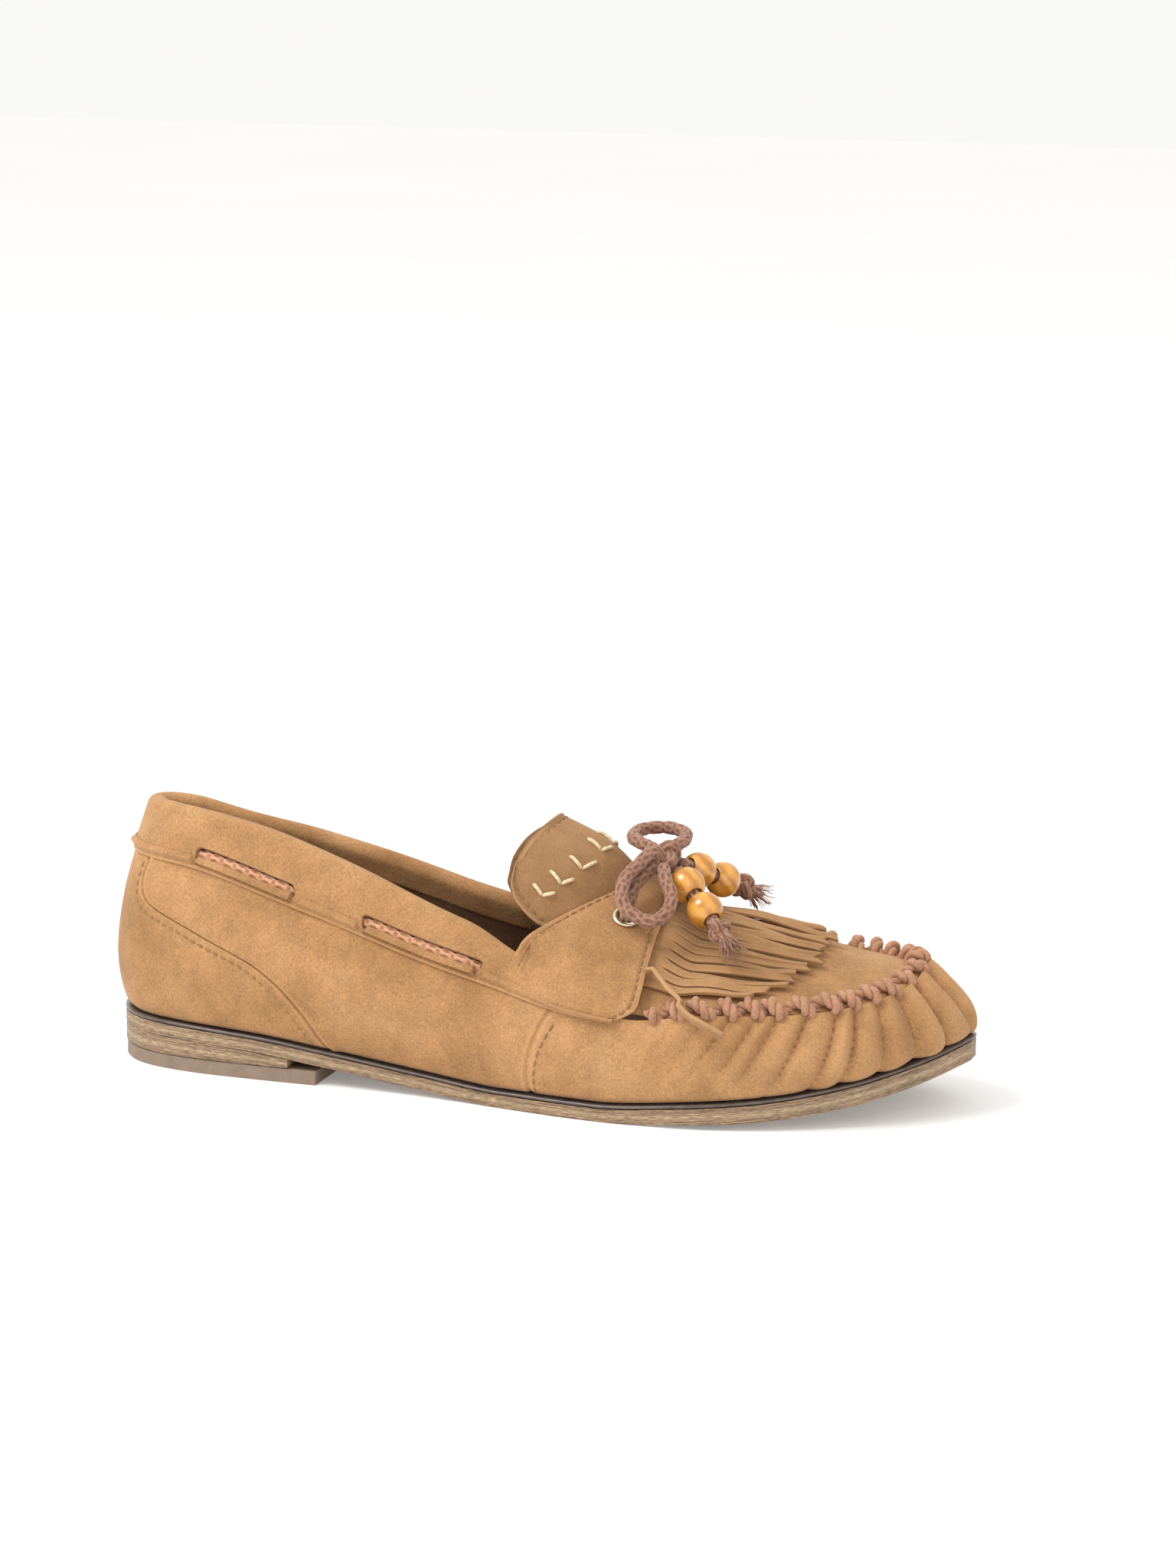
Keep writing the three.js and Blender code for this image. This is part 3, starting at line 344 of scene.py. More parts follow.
# Turns the faces to look away from a point inside the shoe.
def faceAway(obj, inside):
    mesh = obj.data
    centre = np.zeros(len(mesh.polygons) * 3)
    normal = np.zeros(len(mesh.polygons) * 3)
    mesh.polygons.foreach_get("center", centre)
    mesh.polygons.foreach_get("normal", normal)
    centre, normal = centre.reshape(-1, 3), normal.reshape(-1, 3)
    away = centre - inside(centre)
    if np.sum(away * normal) < 0:
        mesh.flip_normals()


def applyAll(obj):
    onlyThis(obj)
    for modifier in list(obj.modifiers):
        bpy.ops.object.modifier_apply(modifier=modifier.name)


def easeEdges(obj, width, angle, segments=2):
    ease = obj.modifiers.new("easedEdge", "BEVEL")
    ease.width = width
    ease.segments = segments
    ease.limit_method = "ANGLE"
    ease.angle_limit = math.radians(angle)


def thicken(obj, thickness):
    wallThickness = obj.modifiers.new("thickness", "SOLIDIFY")
    wallThickness.thickness = thickness * 0.001
    wallThickness.offset = -1


def facesOut(obj):
    onlyThis(obj)
    bpy.ops.object.mode_set(mode="EDIT")
    bpy.ops.mesh.select_all(action="SELECT")
    bpy.ops.mesh.normals_make_consistent(inside=False)
    bpy.ops.object.mode_set(mode="OBJECT")


def runAlong(path):
    return np.concatenate([[0], np.cumsum(np.linalg.norm(np.diff(path, axis=0), axis=1))])


def smoothBy(obj, angle):
    onlyThis(obj)
    bpy.ops.object.shade_smooth_by_angle(angle=math.radians(angle))


def finishPiece(obj, body, look, nodes=()):
    obj.data.materials.clear()
    obj.data.materials.append(finishes[look])
    if body:
        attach(obj, body)
    if nodes:
        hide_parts(*nodes)
    return obj


# A skin over a grid of points: thickened inwards, with its cut edges eased.
def leatherSkin(name, points, thickness, inside, toneAndPaintedLight=None, skip=None, edge=0.3, closeRows=False):
    rows, columns = points.shape[:2]
    flat = points.reshape(-1, 3)
    step = np.linalg.norm(np.diff(flat.reshape(rows, columns, 3), axis=0), axis=2)
    along = np.vstack([np.zeros(columns), np.cumsum(step, axis=0)])
    step = np.linalg.norm(np.diff(flat.reshape(rows, columns, 3), axis=1), axis=2)
    across = np.hstack([np.zeros((rows, 1)), np.cumsum(step, axis=1)])
    uvs = np.stack([along, across], axis=2).reshape(-1, 2) * 0.001
    if toneAndPaintedLight is None:
        toneAndPaintedLight = np.zeros(rows * columns)
    faces = gridFaces(rows, columns, closeRows, skip=skip)
    obj = addMesh(name, place(flat), faces, uvs, np.asarray(toneAndPaintedLight).ravel())
    faceAway(obj, inside)
    thicken(obj, thickness)
    if edge:
        easeEdges(obj, edge * 0.001, 60)
    applyAll(obj)
    looseVertices(obj)
    smoothBy(obj, 50)
    return obj


def looseVertices(obj):
    onlyThis(obj)
    bpy.ops.object.mode_set(mode="EDIT")
    bpy.ops.mesh.select_all(action="SELECT")
    bpy.ops.mesh.delete_loose()
    bpy.ops.object.mode_set(mode="OBJECT")


def insideShoe(centre):
    return np.stack([centre[:, 0] * 0.9, centre[:, 1] * 0, centre[:, 2] * 0 + 0.022], axis=1)


# ---------- the last's surfaces ----------
# Stations round the foot: sole edge x, y; top of the wall x, y, z; swell of the wall between them.
stations = np.array([
    [0, 0, 6.7, 0, 75.1, 5.6], [3.5, -12.5, 10.2, -7.5, 75.1, 5.6], [13, -22.4, 18.8, -12.5, 74.9, 5.8],
    [30, -28, 32.8, -16, 73.6, 6.4], [54, -30.2, 53.9, -20.3, 70, 7], [82, -31.5, 80.1, -24, 62, 7],
    [108, -34, 104.2, -26.6, 52.9, 6.5], [130, -38, 126.3, -28.2, 45.3, 6],
    [148, -41.6, 145.5, -34.5, 38.3, 4.5], [166, -43.6, 164.6, -38.6, 29.8, 2.6],
    [188, -43, 187.6, -38.2, 32.1, 3], [210, -37, 208.6, -32.5, 32.5, 3.2],
    [230, -26.5, 224.6, -24.5, 33.7, 3.5], [245, -14, 236, -13.5, 35.9, 4], [254, -2, 241.9, -3, 38.6, 4.2],
    [258, 10, 243.9, 7, 42.6, 4], [251, 23.5, 239.3, 18, 40.5, 4], [236, 34, 227.3, 26.5, 39.3, 4],
    [214, 40, 209.3, 32, 39, 4], [190, 42.4, 187.3, 35.5, 38.8, 4], [166, 41, 164.3, 37, 36.7, 4],
    [148, 37.5, 145.2, 33, 40.5, 5], [128, 33, 125.2, 29, 44, 6], [106, 29, 102.1, 27.5, 49.4, 6.5],
    [80, 27, 78, 25, 56.9, 7], [54, 29, 53.9, 20.5, 64, 6.5], [30, 28.5, 32.8, 15.5, 69.2, 6],
    [13, 23.5, 18.7, 12, 73.2, 5.8], [3.5, 13, 10.2, 7.5, 74.6, 5.6],
], float)
toeStation, lastStation = 15, len(stations)
sizes = {
    "upper": 1.4, "lining": 0.8, "quarterLining": 1.0, "collarProud": 0.8, "foldDepth": 5.0,
    "gap": 0.3, "seamGap": 0.5, "inset": 1.2, "rand": 0.9, "lace": 4.0, "bead": 10.6, "beadBore": 2.35,
    "endKnot": 3.2, "laceRise": 4.6, "length": 258.0, "footbedInset": 7.0,
}
stitchFrom = {"collarSeam": 1.5, "strapEdge": 2.0, "tongueEdge": 2.1}      # distance in from each edge
sizes["liningDepth"] = sizes["upper"] + 1.1 + 1.1 + 0.4


def unit(vectors):
    return vectors / np.maximum(np.linalg.norm(vectors, axis=-1, keepdims=True), 1e-12)


def smoothstep(x, low, high):
    t = np.clip((np.asarray(x, float) - low) / (high - low), 0, 1)
    return t * t * (3 - 2 * t)


def mix(a, b, t):
    return a + (b - a) * t


# One at the given distance, falling away over the width on both sides.
def bellAt(distance, at, width):
    return np.exp(-((distance - at) / width) ** 2)


def cubic(a, b, c, d, t):
    bend = (2 * a - 5 * b + 4 * c - d) * t * t
    twist = (3 * b - a - 3 * c + d) * t ** 3
    return 0.5 * (2 * b + (c - a) * t + bend + twist)


def around(column, s):
    at = np.asarray(s, float) % lastStation
    i = np.floor(at).astype(int)
    four = [stations[(i + k) % lastStation, column] for k in (-1, 0, 1, 2)]
    return cubic(*four, at - i)


def profile(points):
    xs, ys = np.array(points, float).T
    ends = np.arange(len(xs))
    low, high = np.maximum(ends - 1, 0), np.minimum(ends + 1, len(xs) - 1)
    slope = (ys[high] - ys[low]) / (xs[high] - xs[low])

    def height(x):
        x = np.asarray(x, float)
        i = np.clip(np.searchsorted(xs, x, side="left") - 1, 0, len(xs) - 2)
        h = xs[i + 1] - xs[i]
        t = np.clip((x - xs[i]) / h, 0, 1)
        rise = (2 * t - 3) * t * t
        bend = t * (1 - t) ** 2 * slope[i] - t * t * (1 - t) * slope[i + 1]
        return ys[i] * (1 + rise) - ys[i + 1] * rise + h * bend
    return height


soleTopAt = profile([[0, 15], [30, 14.3], [54, 12.8], [70, 10.9], [101, 7.3], [126, 5], [160, 5], [182, 6.8],
                     [208, 9.2], [230, 13], [244, 16.8], [258, 21.6]])
collarSeamAt = profile([[0, 61.4], [30, 59.2], [70.2, 49.8], [107.4, 39.3], [143.6, 30.5], [159.6, 27.5]])


def soleTop(x):
    return np.maximum(soleTopAt(x), 5)


def soleEdge(s):
    return np.stack([around(0, s), around(1, s), np.zeros_like(np.asarray(s, float))], axis=-1)


def rim(s):
    return np.stack([around(2, s), around(3, s), around(4, s)], axis=-1)


def outward(s):
    along = unit(soleEdge(np.asarray(s) + 0.02) - soleEdge(np.asarray(s) - 0.02))
    return np.stack([along[..., 1], -along[..., 0], np.zeros(along.shape[:-1])], axis=-1)


def feather(s, inset=None):
    p = soleEdge(s) - outward(s) * (sizes["inset"] if inset is None else inset)
    p[..., 2] = soleTop(p[..., 0]) + sizes["gap"]
    return p


def wallBase(s, v):
    v = np.asarray(v, float)
    p = mix(feather(s), rim(s), v[..., None])
    swell = around(5, s) * np.sin(np.pi * np.clip(v, 0, 1) ** 0.75)
    return p + outward(s) * swell[..., None]


def wallNormal(s, v):
    low = np.maximum(v - 0.01, 0.002)
    along = wallBase(s + 0.02, v) - wallBase(s - 0.02, v)
    up = unit(wallBase(s, low + 0.02) - wallBase(s, low))
    return unit(np.cross(along, up)), up


def wall(s, v, offset=0.0):
    s, v = np.broadcast_arrays(np.asarray(s, float), np.asarray(v, float))
    normal, up = wallNormal(s, v)
    return wallBase(s, v) + normal * np.broadcast_to(offset, s.shape)[..., None]


def wallHeight(s):
    return np.linalg.norm(rim(s) - feather(s), axis=-1)


fineStations = np.linspace(0, lastStation, 5801)
fineX = around(0, fineStations)
outerHalf = fineStations <= toeStation


def outerStation(x):
    return np.interp(x, fineX[outerHalf], fineStations[outerHalf])


def innerStation(x):
    order = ~outerHalf
    return np.interp(x, fineX[order][::-1], fineStations[order][::-1]) - lastStation


def seamShare(s):
    side = np.clip(around(1, s) / 10, 0, 1)
    height = collarSeamAt(np.minimum(around(0, s), 160)) - 3 * side
    low = feather(s)[..., 2]
    return (height - low) / (rim(s)[..., 2] - low)


def topShare(s):
    return mix(seamShare(s), 1, smoothstep(around(0, s), 165.5, 171.5))


def alongRow(row, share):
    row = np.asarray(row, float)
    padded = np.concatenate([[2 * row[0] - row[1]], row, [2 * row[-1] - row[-2]]])
    at = np.clip(share, 0, 1) * (len(row) - 1)
    i = np.minimum(np.floor(at).astype(int), len(row) - 2)
    four = [padded[i + k] for k in (0, 1, 2, 3)]
    return cubic(*four, (at - i)[..., None])


# A sheet through rows of points, with a along a row and b across the rows.
def sheetThrough(rows):
    table = [np.asarray(row, float) for row in rows]

    def base(a, b):
        a, b = np.broadcast_arrays(np.asarray(a, float), np.asarray(b, float))
        across = [alongRow(row, a) for row in table]
        across = [2 * across[0] - across[1], *across, 2 * across[-1] - across[-2]]
        stack = np.stack(across)
        at = np.clip(b, 0, 1) * (len(table) - 1)
        i = np.minimum(np.floor(at).astype(int), len(table) - 2)
        pick = [np.take_along_axis(stack, (i + k)[None, ..., None], axis=0)[0] for k in (0, 1, 2, 3)]
        return cubic(*pick, (at - i)[..., None])

    def surface(a, b, offset=0.0):
        a, b = np.broadcast_arrays(np.asarray(a, float), np.asarray(b, float))
        a0, a1 = np.maximum(a - 0.01, 0), np.minimum(a + 0.01, 1)
        b0, b1 = np.maximum(b - 0.01, 0), np.minimum(b + 0.01, 1)
        normal = unit(np.cross(base(a1, b) - base(a0, b), base(a, b1) - base(a, b0)))
        return base(a, b) - normal * np.broadcast_to(offset, a.shape)[..., None]
    return surface


strapRows = [
    [[129.9, -33.2, 41.6], [132.8, -29.3, 48.4], [137.3, -25, 52.1], [145.8, -16, 56.6], [155.1, -8, 60.9],
     [159.6, 2, 65], [157.5, 11, 64.6], [150.5, 20.5, 60], [140.1, 28, 51.9], [133.2, 31, 44.8]],
    [[149.5, -38, 36.3], [151.9, -34.5, 43], [154.3, -29.5, 48.9], [157.7, -18.5, 54.9], [162.5, -8, 59],
     [165.4, 2, 62.1], [164.6, 12, 62.1], [160.6, 22, 57.6], [153.2, 30.5, 49.1], [149.2, 35.6, 40.5]],
    [[169, -39.6, 32.5], [170.3, -36.8, 37.6], [170.4, -31.5, 43.1], [170.1, -20, 50.5], [170.2, -8, 55.9],
     [170.6, 2, 59], [170.9, 13, 59], [170.3, 24, 54.8], [169.2, 32, 47.8], [168.3, 37.6, 40.3]],
]
strapFeet = [129, 147, 163.6]


def onSeam(s):
    s = np.array([float(s)])
    return wall(s, seamShare(s) + sizes["seamGap"] / wallHeight(s), sizes["collarProud"])[0]


strapSurface = sheetThrough([
    [onSeam(outerStation(foot)), *row, onSeam(innerStation(foot))] for row, foot in zip(strapRows, strapFeet)
])

rimX = around(2, fineStations)
nearRim = (fineStations >= 7) & (fineStations <= toeStation)
farRim = (fineStations >= toeStation) & (fineStations <= 22)
apronRise = profile([[163, 21.5], [172, 19.5], [182, 16], [190, 14], [200, 11.5], [212, 8.5], [225, 5],
                     [236, 2.2], [243, 0.6]])
apronLean = profile([[163, 0.95], [172, 1], [182, 1.3], [243, 1.3]])


def rimAt(x, side):
    if side < 0:
        return rim(np.interp(x, rimX[nearRim], fineStations[nearRim]))
    return rim(np.interp(x, rimX[farRim][::-1], fineStations[farRim][::-1]))


def apronBase(x, w):
    p = mix(rimAt(x, -1), rimAt(x, 1), w[..., None])
    p[..., 2] += apronRise(x) * np.sin(np.pi * np.clip(w, 0, 1) ** apronLean(x))
    return p


def apron(x, w, offset=0.0):
    x, w = np.broadcast_arrays(np.asarray(x, float), np.asarray(w, float))
    across = apronBase(x, np.minimum(w + 0.01, 1)) - apronBase(x, np.maximum(w - 0.01, 0))
    along = apronBase(x + 0.4, w) - apronBase(x - 0.4, w)
    return apronBase(x, w) + unit(np.cross(along, across)) * np.broadcast_to(offset, x.shape)[..., None]


# Slow, even unevenness for hand-cut leather, about one either way.
def unevenness(points, scale, seed=0.0):
    p = np.asarray(points, float) / scale
    x, y, z = p[..., 0], p[..., 1], p[..., 2]
    return (np.sin(1.7 * x + 0.9 * z + seed) + np.sin(1.3 * y - 1.1 * z + 2.1 * seed + 1)
            + np.sin(2.3 * z + 0.8 * x - 0.7 * y + 3 * seed) + np.sin(2.9 * x - 2.2 * y + seed)) / 4


print("last drawn")


# ---------- lace: cords first ----------
lace = {
    "knot": (166.4, -0.9, 69.7),
    "eyelets": {"lateral": 4.06 / 11, "medial": 7.9 / 11},
    "eyeletPlace": 0.6,
    "leads": {
        "lateral": [[161.4, -14, 62.6], [163.2, -9.4, 65.6], [164.2, -6.6, 66.9]],
        "medial": [[164.4, 18, 64.6], [165, 12, 66.2], [165.6, 4.6, 68]],
    },
    "loops": {
        "lateral": [[163.8, -6.7, 71.5], [162.3, -11.5, 69.4], [159.9, -17, 66.3], [159.8, -21.8, 62.6],
                    [161.8, -24.6, 58.9], [166.2, -25.6, 56.4], [170.6, -24.8, 55.7], [173.5, -21.5, 58.1],
                    [173.5, -17.5, 61.8], [170.5, -13.3, 65.6], [168.3, -7.4, 67.6]],
        "medial": [[161, 0.9, 72], [158.4, 2.8, 72.4], [154.9, 7, 72.8], [154.4, 13.4, 73.5],
                   [157.2, 18.4, 73.8], [162.6, 20.2, 73.8], [168, 17, 73.2], [169.4, 11.5, 72.4],
                   [169.2, 8, 72.2], [168.8, 4.3, 72]],
    },
    "tails": {
        "lateral": {"lead": 1.1, "bead": [175, -5.9, 62.7], "run": [0.645, -0.582, -0.5]},
        "medial": {"lead": 2.4, "bead": [174.6, 8.1, 64.3], "run": [0.456, 0.803, -0.383]},
    },
    "beadStep": 11.0,
}
braiding = {"sides": 18, "braid": 0.10, "braidStep": 4.6, "strands": 6}


def smoothPath(points, step):
    points = np.asarray(points, float)
    fine = alongRow(points, np.linspace(0, 1, 60 * len(points)))
    return evenPath(fine, step)


def evenPath(fine, step):
    length = runAlong(fine)
    count = max(int(round(length[-1] / step)), 3)
    at = np.linspace(0, length[-1], count + 1)
    return np.stack([np.interp(at, length, fine[:, k]) for k in range(3)], axis=1)


# Tangents and two square directions along a path, turned as little as may be.
def pathFrames(path):
    tangent = unit(np.gradient(path, axis=0))
    side = np.zeros_like(path)
    start = np.array([0, 0, 1.0]) if abs(tangent[0, 2]) < 0.9 else np.array([1.0, 0, 0])
    side[0] = unit(np.cross(tangent[0], start))
    for i in range(1, len(path)):
        carried = side[i - 1] - tangent[i] * np.dot(side[i - 1], tangent[i])
        side[i] = carried / np.linalg.norm(carried)
    return tangent, side, np.cross(tangent, side)


# A round cord along a path; braid gives its surface raised strands that cross, and marks the grooves in an
# attribute that the cotton material darkens as painted shade.
def cordMesh(name, path, diameter, sides=16, braid=0.0, braidStep=5.0, strands=4, taper=None):
    tangent, side, other = pathFrames(path)
    length = runAlong(path)
    angle = np.linspace(0, 2 * np.pi, sides, endpoint=False)
    turn, run = np.meshgrid(angle, length)
    lay = 2 * np.pi * run / braidStep
    if braid:
        over = np.abs(np.cos(strands * turn / 2 + lay / 2))
        under = np.abs(np.cos(strands * turn / 2 - lay / 2))
        relief = np.maximum(over, under)
        relief = (relief - 0.7071) / 0.2929
    else:
        relief = np.ones_like(turn)
    radius = diameter / 2 * (1 - braid * (1 - relief))
    if taper is not None:
        radius = radius * np.asarray(taper)[:, None]
    ring = (path[:, None, :] + side[:, None, :] * (radius * np.cos(turn))[..., None]
            + other[:, None, :] * (radius * np.sin(turn))[..., None])
    rows = len(path)
    verts = np.concatenate([ring.reshape(-1, 3), path[:1], path[-1:]])
    faces = gridFaces(rows, sides, closeColumns=True)
    faces += [(rows * sides, (j + 1) % sides, j) for j in range(sides)]
    last = (rows - 1) * sides
    faces += [(rows * sides + 1, last + j, last + (j + 1) % sides) for j in range(sides)]
    uvs = np.stack([turn / (2 * np.pi) * math.pi * diameter, run], axis=2).reshape(-1, 2) * 0.001
    uvs = np.concatenate([uvs, [[0, 0]], [[0, length[-1] * 0.001]]])
    mark = np.concatenate([relief.ravel(), [1, 1]])
    return verts, faces, uvs, mark


def joinParts(name, parts):
    verts, faces, uvs, marks = [], [], [], []
    start = 0
    for v, f, u, m in parts:
        verts.append(v)
        faces += [tuple(start + k for k in face) for face in f]
        uvs.append(u)
        marks.append(m)
        start += len(v)
    obj = addMesh(name, place(np.concatenate(verts)), faces, np.concatenate(uvs), np.concatenate(marks))
    facesOut(obj)
    obj.data.shade_smooth()
    return obj


def eyeletAxis(side):
    share = lace["eyelets"][side]
    centre = strapSurface(np.array([share]), np.array([lace["eyeletPlace"]]), np.array([0.0]))[0]
    below = strapSurface(np.array([share]), np.array([lace["eyeletPlace"]]), np.array([-1.0]))[0]
    return centre, unit(centre - below)


def bowRoute(side):
    centre, normal = eyeletAxis(side)
    knot = np.array(lace["knot"])
    loop = lace["loops"][side]
    lead = [centre - 1.8 * normal, centre + 2.4 * normal, *lace["leads"][side]]
    return smoothPath([*lead, mix(np.array(lace["leads"][side][-1]), knot, 0.55),
                       mix(np.array(loop[0]), knot, 0.3), *loop], 0.5)


def tailPoint(side, distance):
    tail = lace["tails"][side]
    return np.array(tail["bead"]) + unit(np.array(tail["run"])) * distance


def tailRoute(side):
    start = -sizes["bead"] / 2 - lace["tails"][side]["lead"]
    end = lace["beadStep"] + sizes["bead"] / 2 + 8.3
    return evenPath(np.array([tailPoint(side, start), tailPoint(side, end)]), 0.5)


# A small overhand knot's closed path, fitted into a radius.
def knotPath(centre, radius, cord, tilt, flat=1.0):
    t = np.linspace(0, 2 * np.pi, 121)
    scale = (radius - cord / 2) / 3
    p = np.stack([(np.sin(t) + 2 * np.sin(2 * t)) * scale, (np.cos(t) - 2 * np.cos(2 * t)) * scale,
                  -np.sin(3 * t) * scale * 1.5 * flat], axis=1)
    turn = np.array(Matrix.Rotation(tilt[0], 3, "X") @ Matrix.Rotation(tilt[1], 3, "Y")
                    @ Matrix.Rotation(tilt[2], 3, "Z"))
    return p @ turn.T + np.asarray(centre)


bowCords, tailCords = {}, {}
for side in ("lateral", "medial"):
    route = bowRoute(side)
    bow = joinParts("laceBow_" + side, [cordMesh(side, route, sizes["lace"], **braiding)])
    finishPiece(bow, "shoe", "lace", ("lace_lead_" + side, "lace_loop_" + side))
    bowCords[side] = (bow, route)
    route = tailRoute(side)
    tail = joinParts("laceTail_" + side, [cordMesh(side, route, sizes["lace"], **braiding)])
    finishPiece(tail, "tail_" + side, "lace", ("lace_tail_" + side,))
    tailCords[side] = (tail, route)
print("lace cords made")


# ---------- wall panels ----------
panels = {
    "counterEdge": [[0, 74], [0.29, 65], [0.48, 52], [0.58, 32], [0.7, 12], [1, 8.5]],
    "underCollar": 3.0,       # how far the panels run up under the collar
    "grooveDepth": 0.65,
    "ridgeHeight": 0.45,
    "wave": 0.22,
}
counterEdgeAt = profile(panels["counterEdge"])


def sideSeamAt(b):
    return 138 + 3 * b + 6 * b * b


def cosineSteps(count):
    return 0.5 - 0.5 * np.cos(np.pi * np.linspace(0, 1, count))


def distancesAlong(points):
    step = np.linalg.norm(np.diff(points, axis=0), axis=2)
    run = np.vstack([np.zeros(points.shape[1]), np.cumsum(step, axis=0)])
    return run, run[-1][None, :] - run


def wallGrid(fromS, toS, countA, countB, topExtra, spread=cosineSteps):
    b = np.linspace(0, 1, countB)
    a = spread(countA)
    s = mix(fromS(b)[None, :], toS(b)[None, :], a[:, None])
    top = np.minimum(topShare(s) + topExtra / wallHeight(s), 1)
    v = mix(0.0, top, b[None, :])
    return s, v


def seamRelief(distance, folded):
    groove = -panels["grooveDepth"] * bellAt(distance, 0, 0.7)
    if not folded:
        return groove
    return groove + panels["ridgeHeight"] * bellAt(distance, 1.5, 1.1)


def panelSkin(name, s, v, foldedStart, foldedEnd, node, extra=None):
    base = wall(s, v)
    start, end = distancesAlong(base)
    offset = seamRelief(start, foldedStart) + seamRelief(end, foldedEnd)
    height = v * wallHeight(s)
    offset = offset + panels["wave"] * unevenness(base, 9.0) * smoothstep(height, 0, 6)
    offset = offset - 0.5 * bellAt(height, 0, 1.2)      # drawn in under the sole's edge
    if extra is not None:
        offset = offset + extra
    # painted highlight: each panel is made paler in a strip about 1.4 mm in from its seam edges, along the
    # seam ridge
    toneAndPaintedLight = 0.30 * np.exp(-((np.minimum(start, end) - 1.4) / 0.7) ** 2)
    # painted highlight: where the gathers' tucks stand out, the suede is made paler in step with their height
    if extra is not None:
        toneAndPaintedLight = toneAndPaintedLight + 0.16 * np.clip(extra, 0, 2)
    obj = leatherSkin(name, wall(s, v, offset), sizes["upper"], insideShoe, np.clip(toneAndPaintedLight, 0, 1))
    return finishPiece(obj, "shoe", "suede", (node,))


s, v = wallGrid(lambda b: innerStation(counterEdgeAt(b)), lambda b: outerStation(counterEdgeAt(b)), 190, 60,
                panels["underCollar"])
panelSkin("heelCounter", s, v, False, False, "heel_counter")
for side, station in (("lateral", outerStation), ("medial", innerStation)):
    s, v = wallGrid(lambda b: station(counterEdgeAt(b)), lambda b: station(sideSeamAt(b)), 150, 60,
                    panels["underCollar"])
    panelSkin("quarterPanel_" + side, s, v, True, False, "quarter_" + side)
print("heel and quarters made")


# ---------- toe vamp with its gathers ----------
gathers = {
    "pitch": 7.3,
    "depth": 2.5,
    "slant": 0.8,
    "reach": 27.0,      # how far down the wall the tucks run
    "firstAt": 173.5,
    "phase": 0.25,
}
seamFirst = float(np.interp(gathers["firstAt"], rimX[nearRim], fineStations[nearRim]))
seamLast = float(np.interp(gathers["firstAt"], rimX[farRim][::-1], fineStations[farRim][::-1]))
rimStations = np.linspace(4, 25, 2101)
rimRun = runAlong(rim(rimStations))
rimRun = rimRun - np.interp(seamFirst, rimStations, rimRun)
seamLength = float(np.interp(seamLast, rimStations, rimRun))


def seamPhase(q):
    return q / gathers["pitch"] + 0.10 * np.sin(q * 0.21) + 0.06 * np.sin(q * 0.53 + 1) + gathers["phase"]


def gatherRelief(s, v):
    q = np.interp(s, rimStations, rimRun)
    drop = (1 - v) * wallHeight(s)
    share = np.clip(q / seamLength, 0, 1)
    slant = gathers["slant"] * np.cos(np.pi * share)
    at = q + slant * drop * (1 - 0.25 * drop / gathers["reach"])
    tuck = np.abs(np.cos(np.pi * seamPhase(at))) ** 0.75 - 0.55
    grow = smoothstep(q, -6, 50) * smoothstep(seamLength - q, -6, 50)
    toe = bellAt(share, 0.5, 0.17)
    fade = smoothstep(gathers["reach"] * (0.72 + 0.35 * grow) - drop, 0, 17)
    fade = fade * mix(0.75, 1.0, smoothstep(drop, 0, 4))
    irregular = 1 + 0.30 * np.sin(np.round(seamPhase(at)) * 2.4 + 0.7)
    relief = gathers["depth"] * mix(0.22, 1.0, grow) * (1 + 0.25 * toe) * fade * tuck * irregular
    return relief * (q > -9) * (q < seamLength + 9)


s, v = wallGrid(lambda b: outerStation(sideSeamAt(b)), lambda b: innerStation(sideSeamAt(b)) + lastStation,
                430, 64, panels["underCollar"], lambda count: np.linspace(0, 1, count))
tucks = gatherRelief(s, v)
panelSkin("toeVamp", s, v, False, False, "toe_vamp", tucks)
print("vamp made")


# ---------- apron ----------
def apronGrid(countA, countB, margin, front):
    a = np.sin(np.pi / 2 * np.linspace(0, 1, countA))
    x = mix(163.0, front, a)[:, None] * np.ones((1, countB))
    width = np.linalg.norm(rimAt(x, 1) - rimAt(x, -1), axis=-1)
    edge = margin / width
    w = mix(edge, 1 - edge, np.linspace(0, 1, countB)[None, :])
    return x, w, width


x, w, width = apronGrid(120, 90, 1.6, 242.0)
apronPlace = apron(x, w)
toEdge = np.minimum(np.minimum(w, 1 - w) * width, np.maximum(243 - x, 0) * 0.9)
puckers = 0.45 * np.cos(2 * np.pi * x / 7.3) * bellAt(toEdge, 0, 3.2)
relief = puckers - 1.2 * bellAt(toEdge, 0, 2.0) + 0.18 * unevenness(apronPlace, 7.0, 2)
apronSkin = leatherSkin("apronPanel", apron(x, w, relief), sizes["upper"], insideShoe)
finishPiece(apronSkin, "shoe", "suede", ("apron",))
print("apron made")


# ---------- collar and saddle strap ----------
collar = {
    "end": (129.0, 134.0),        # where it meets the strap, at the seam and at the topline
    "columns": 420,
    "windows": [(26.5, 63.5), (85.5, 123.5)],
    "windowHeight": 4.3,
    "strapColumns": 70,
    "strapRows": 110,
    "join": 0.085,                # share of the strap's length that each collar end takes up
    "fadeRows": 14,
    "laceDiameter": 3.9,
}


def laceShare(s):
    return seamShare(s) + sizes["laceRise"] / wallHeight(s)


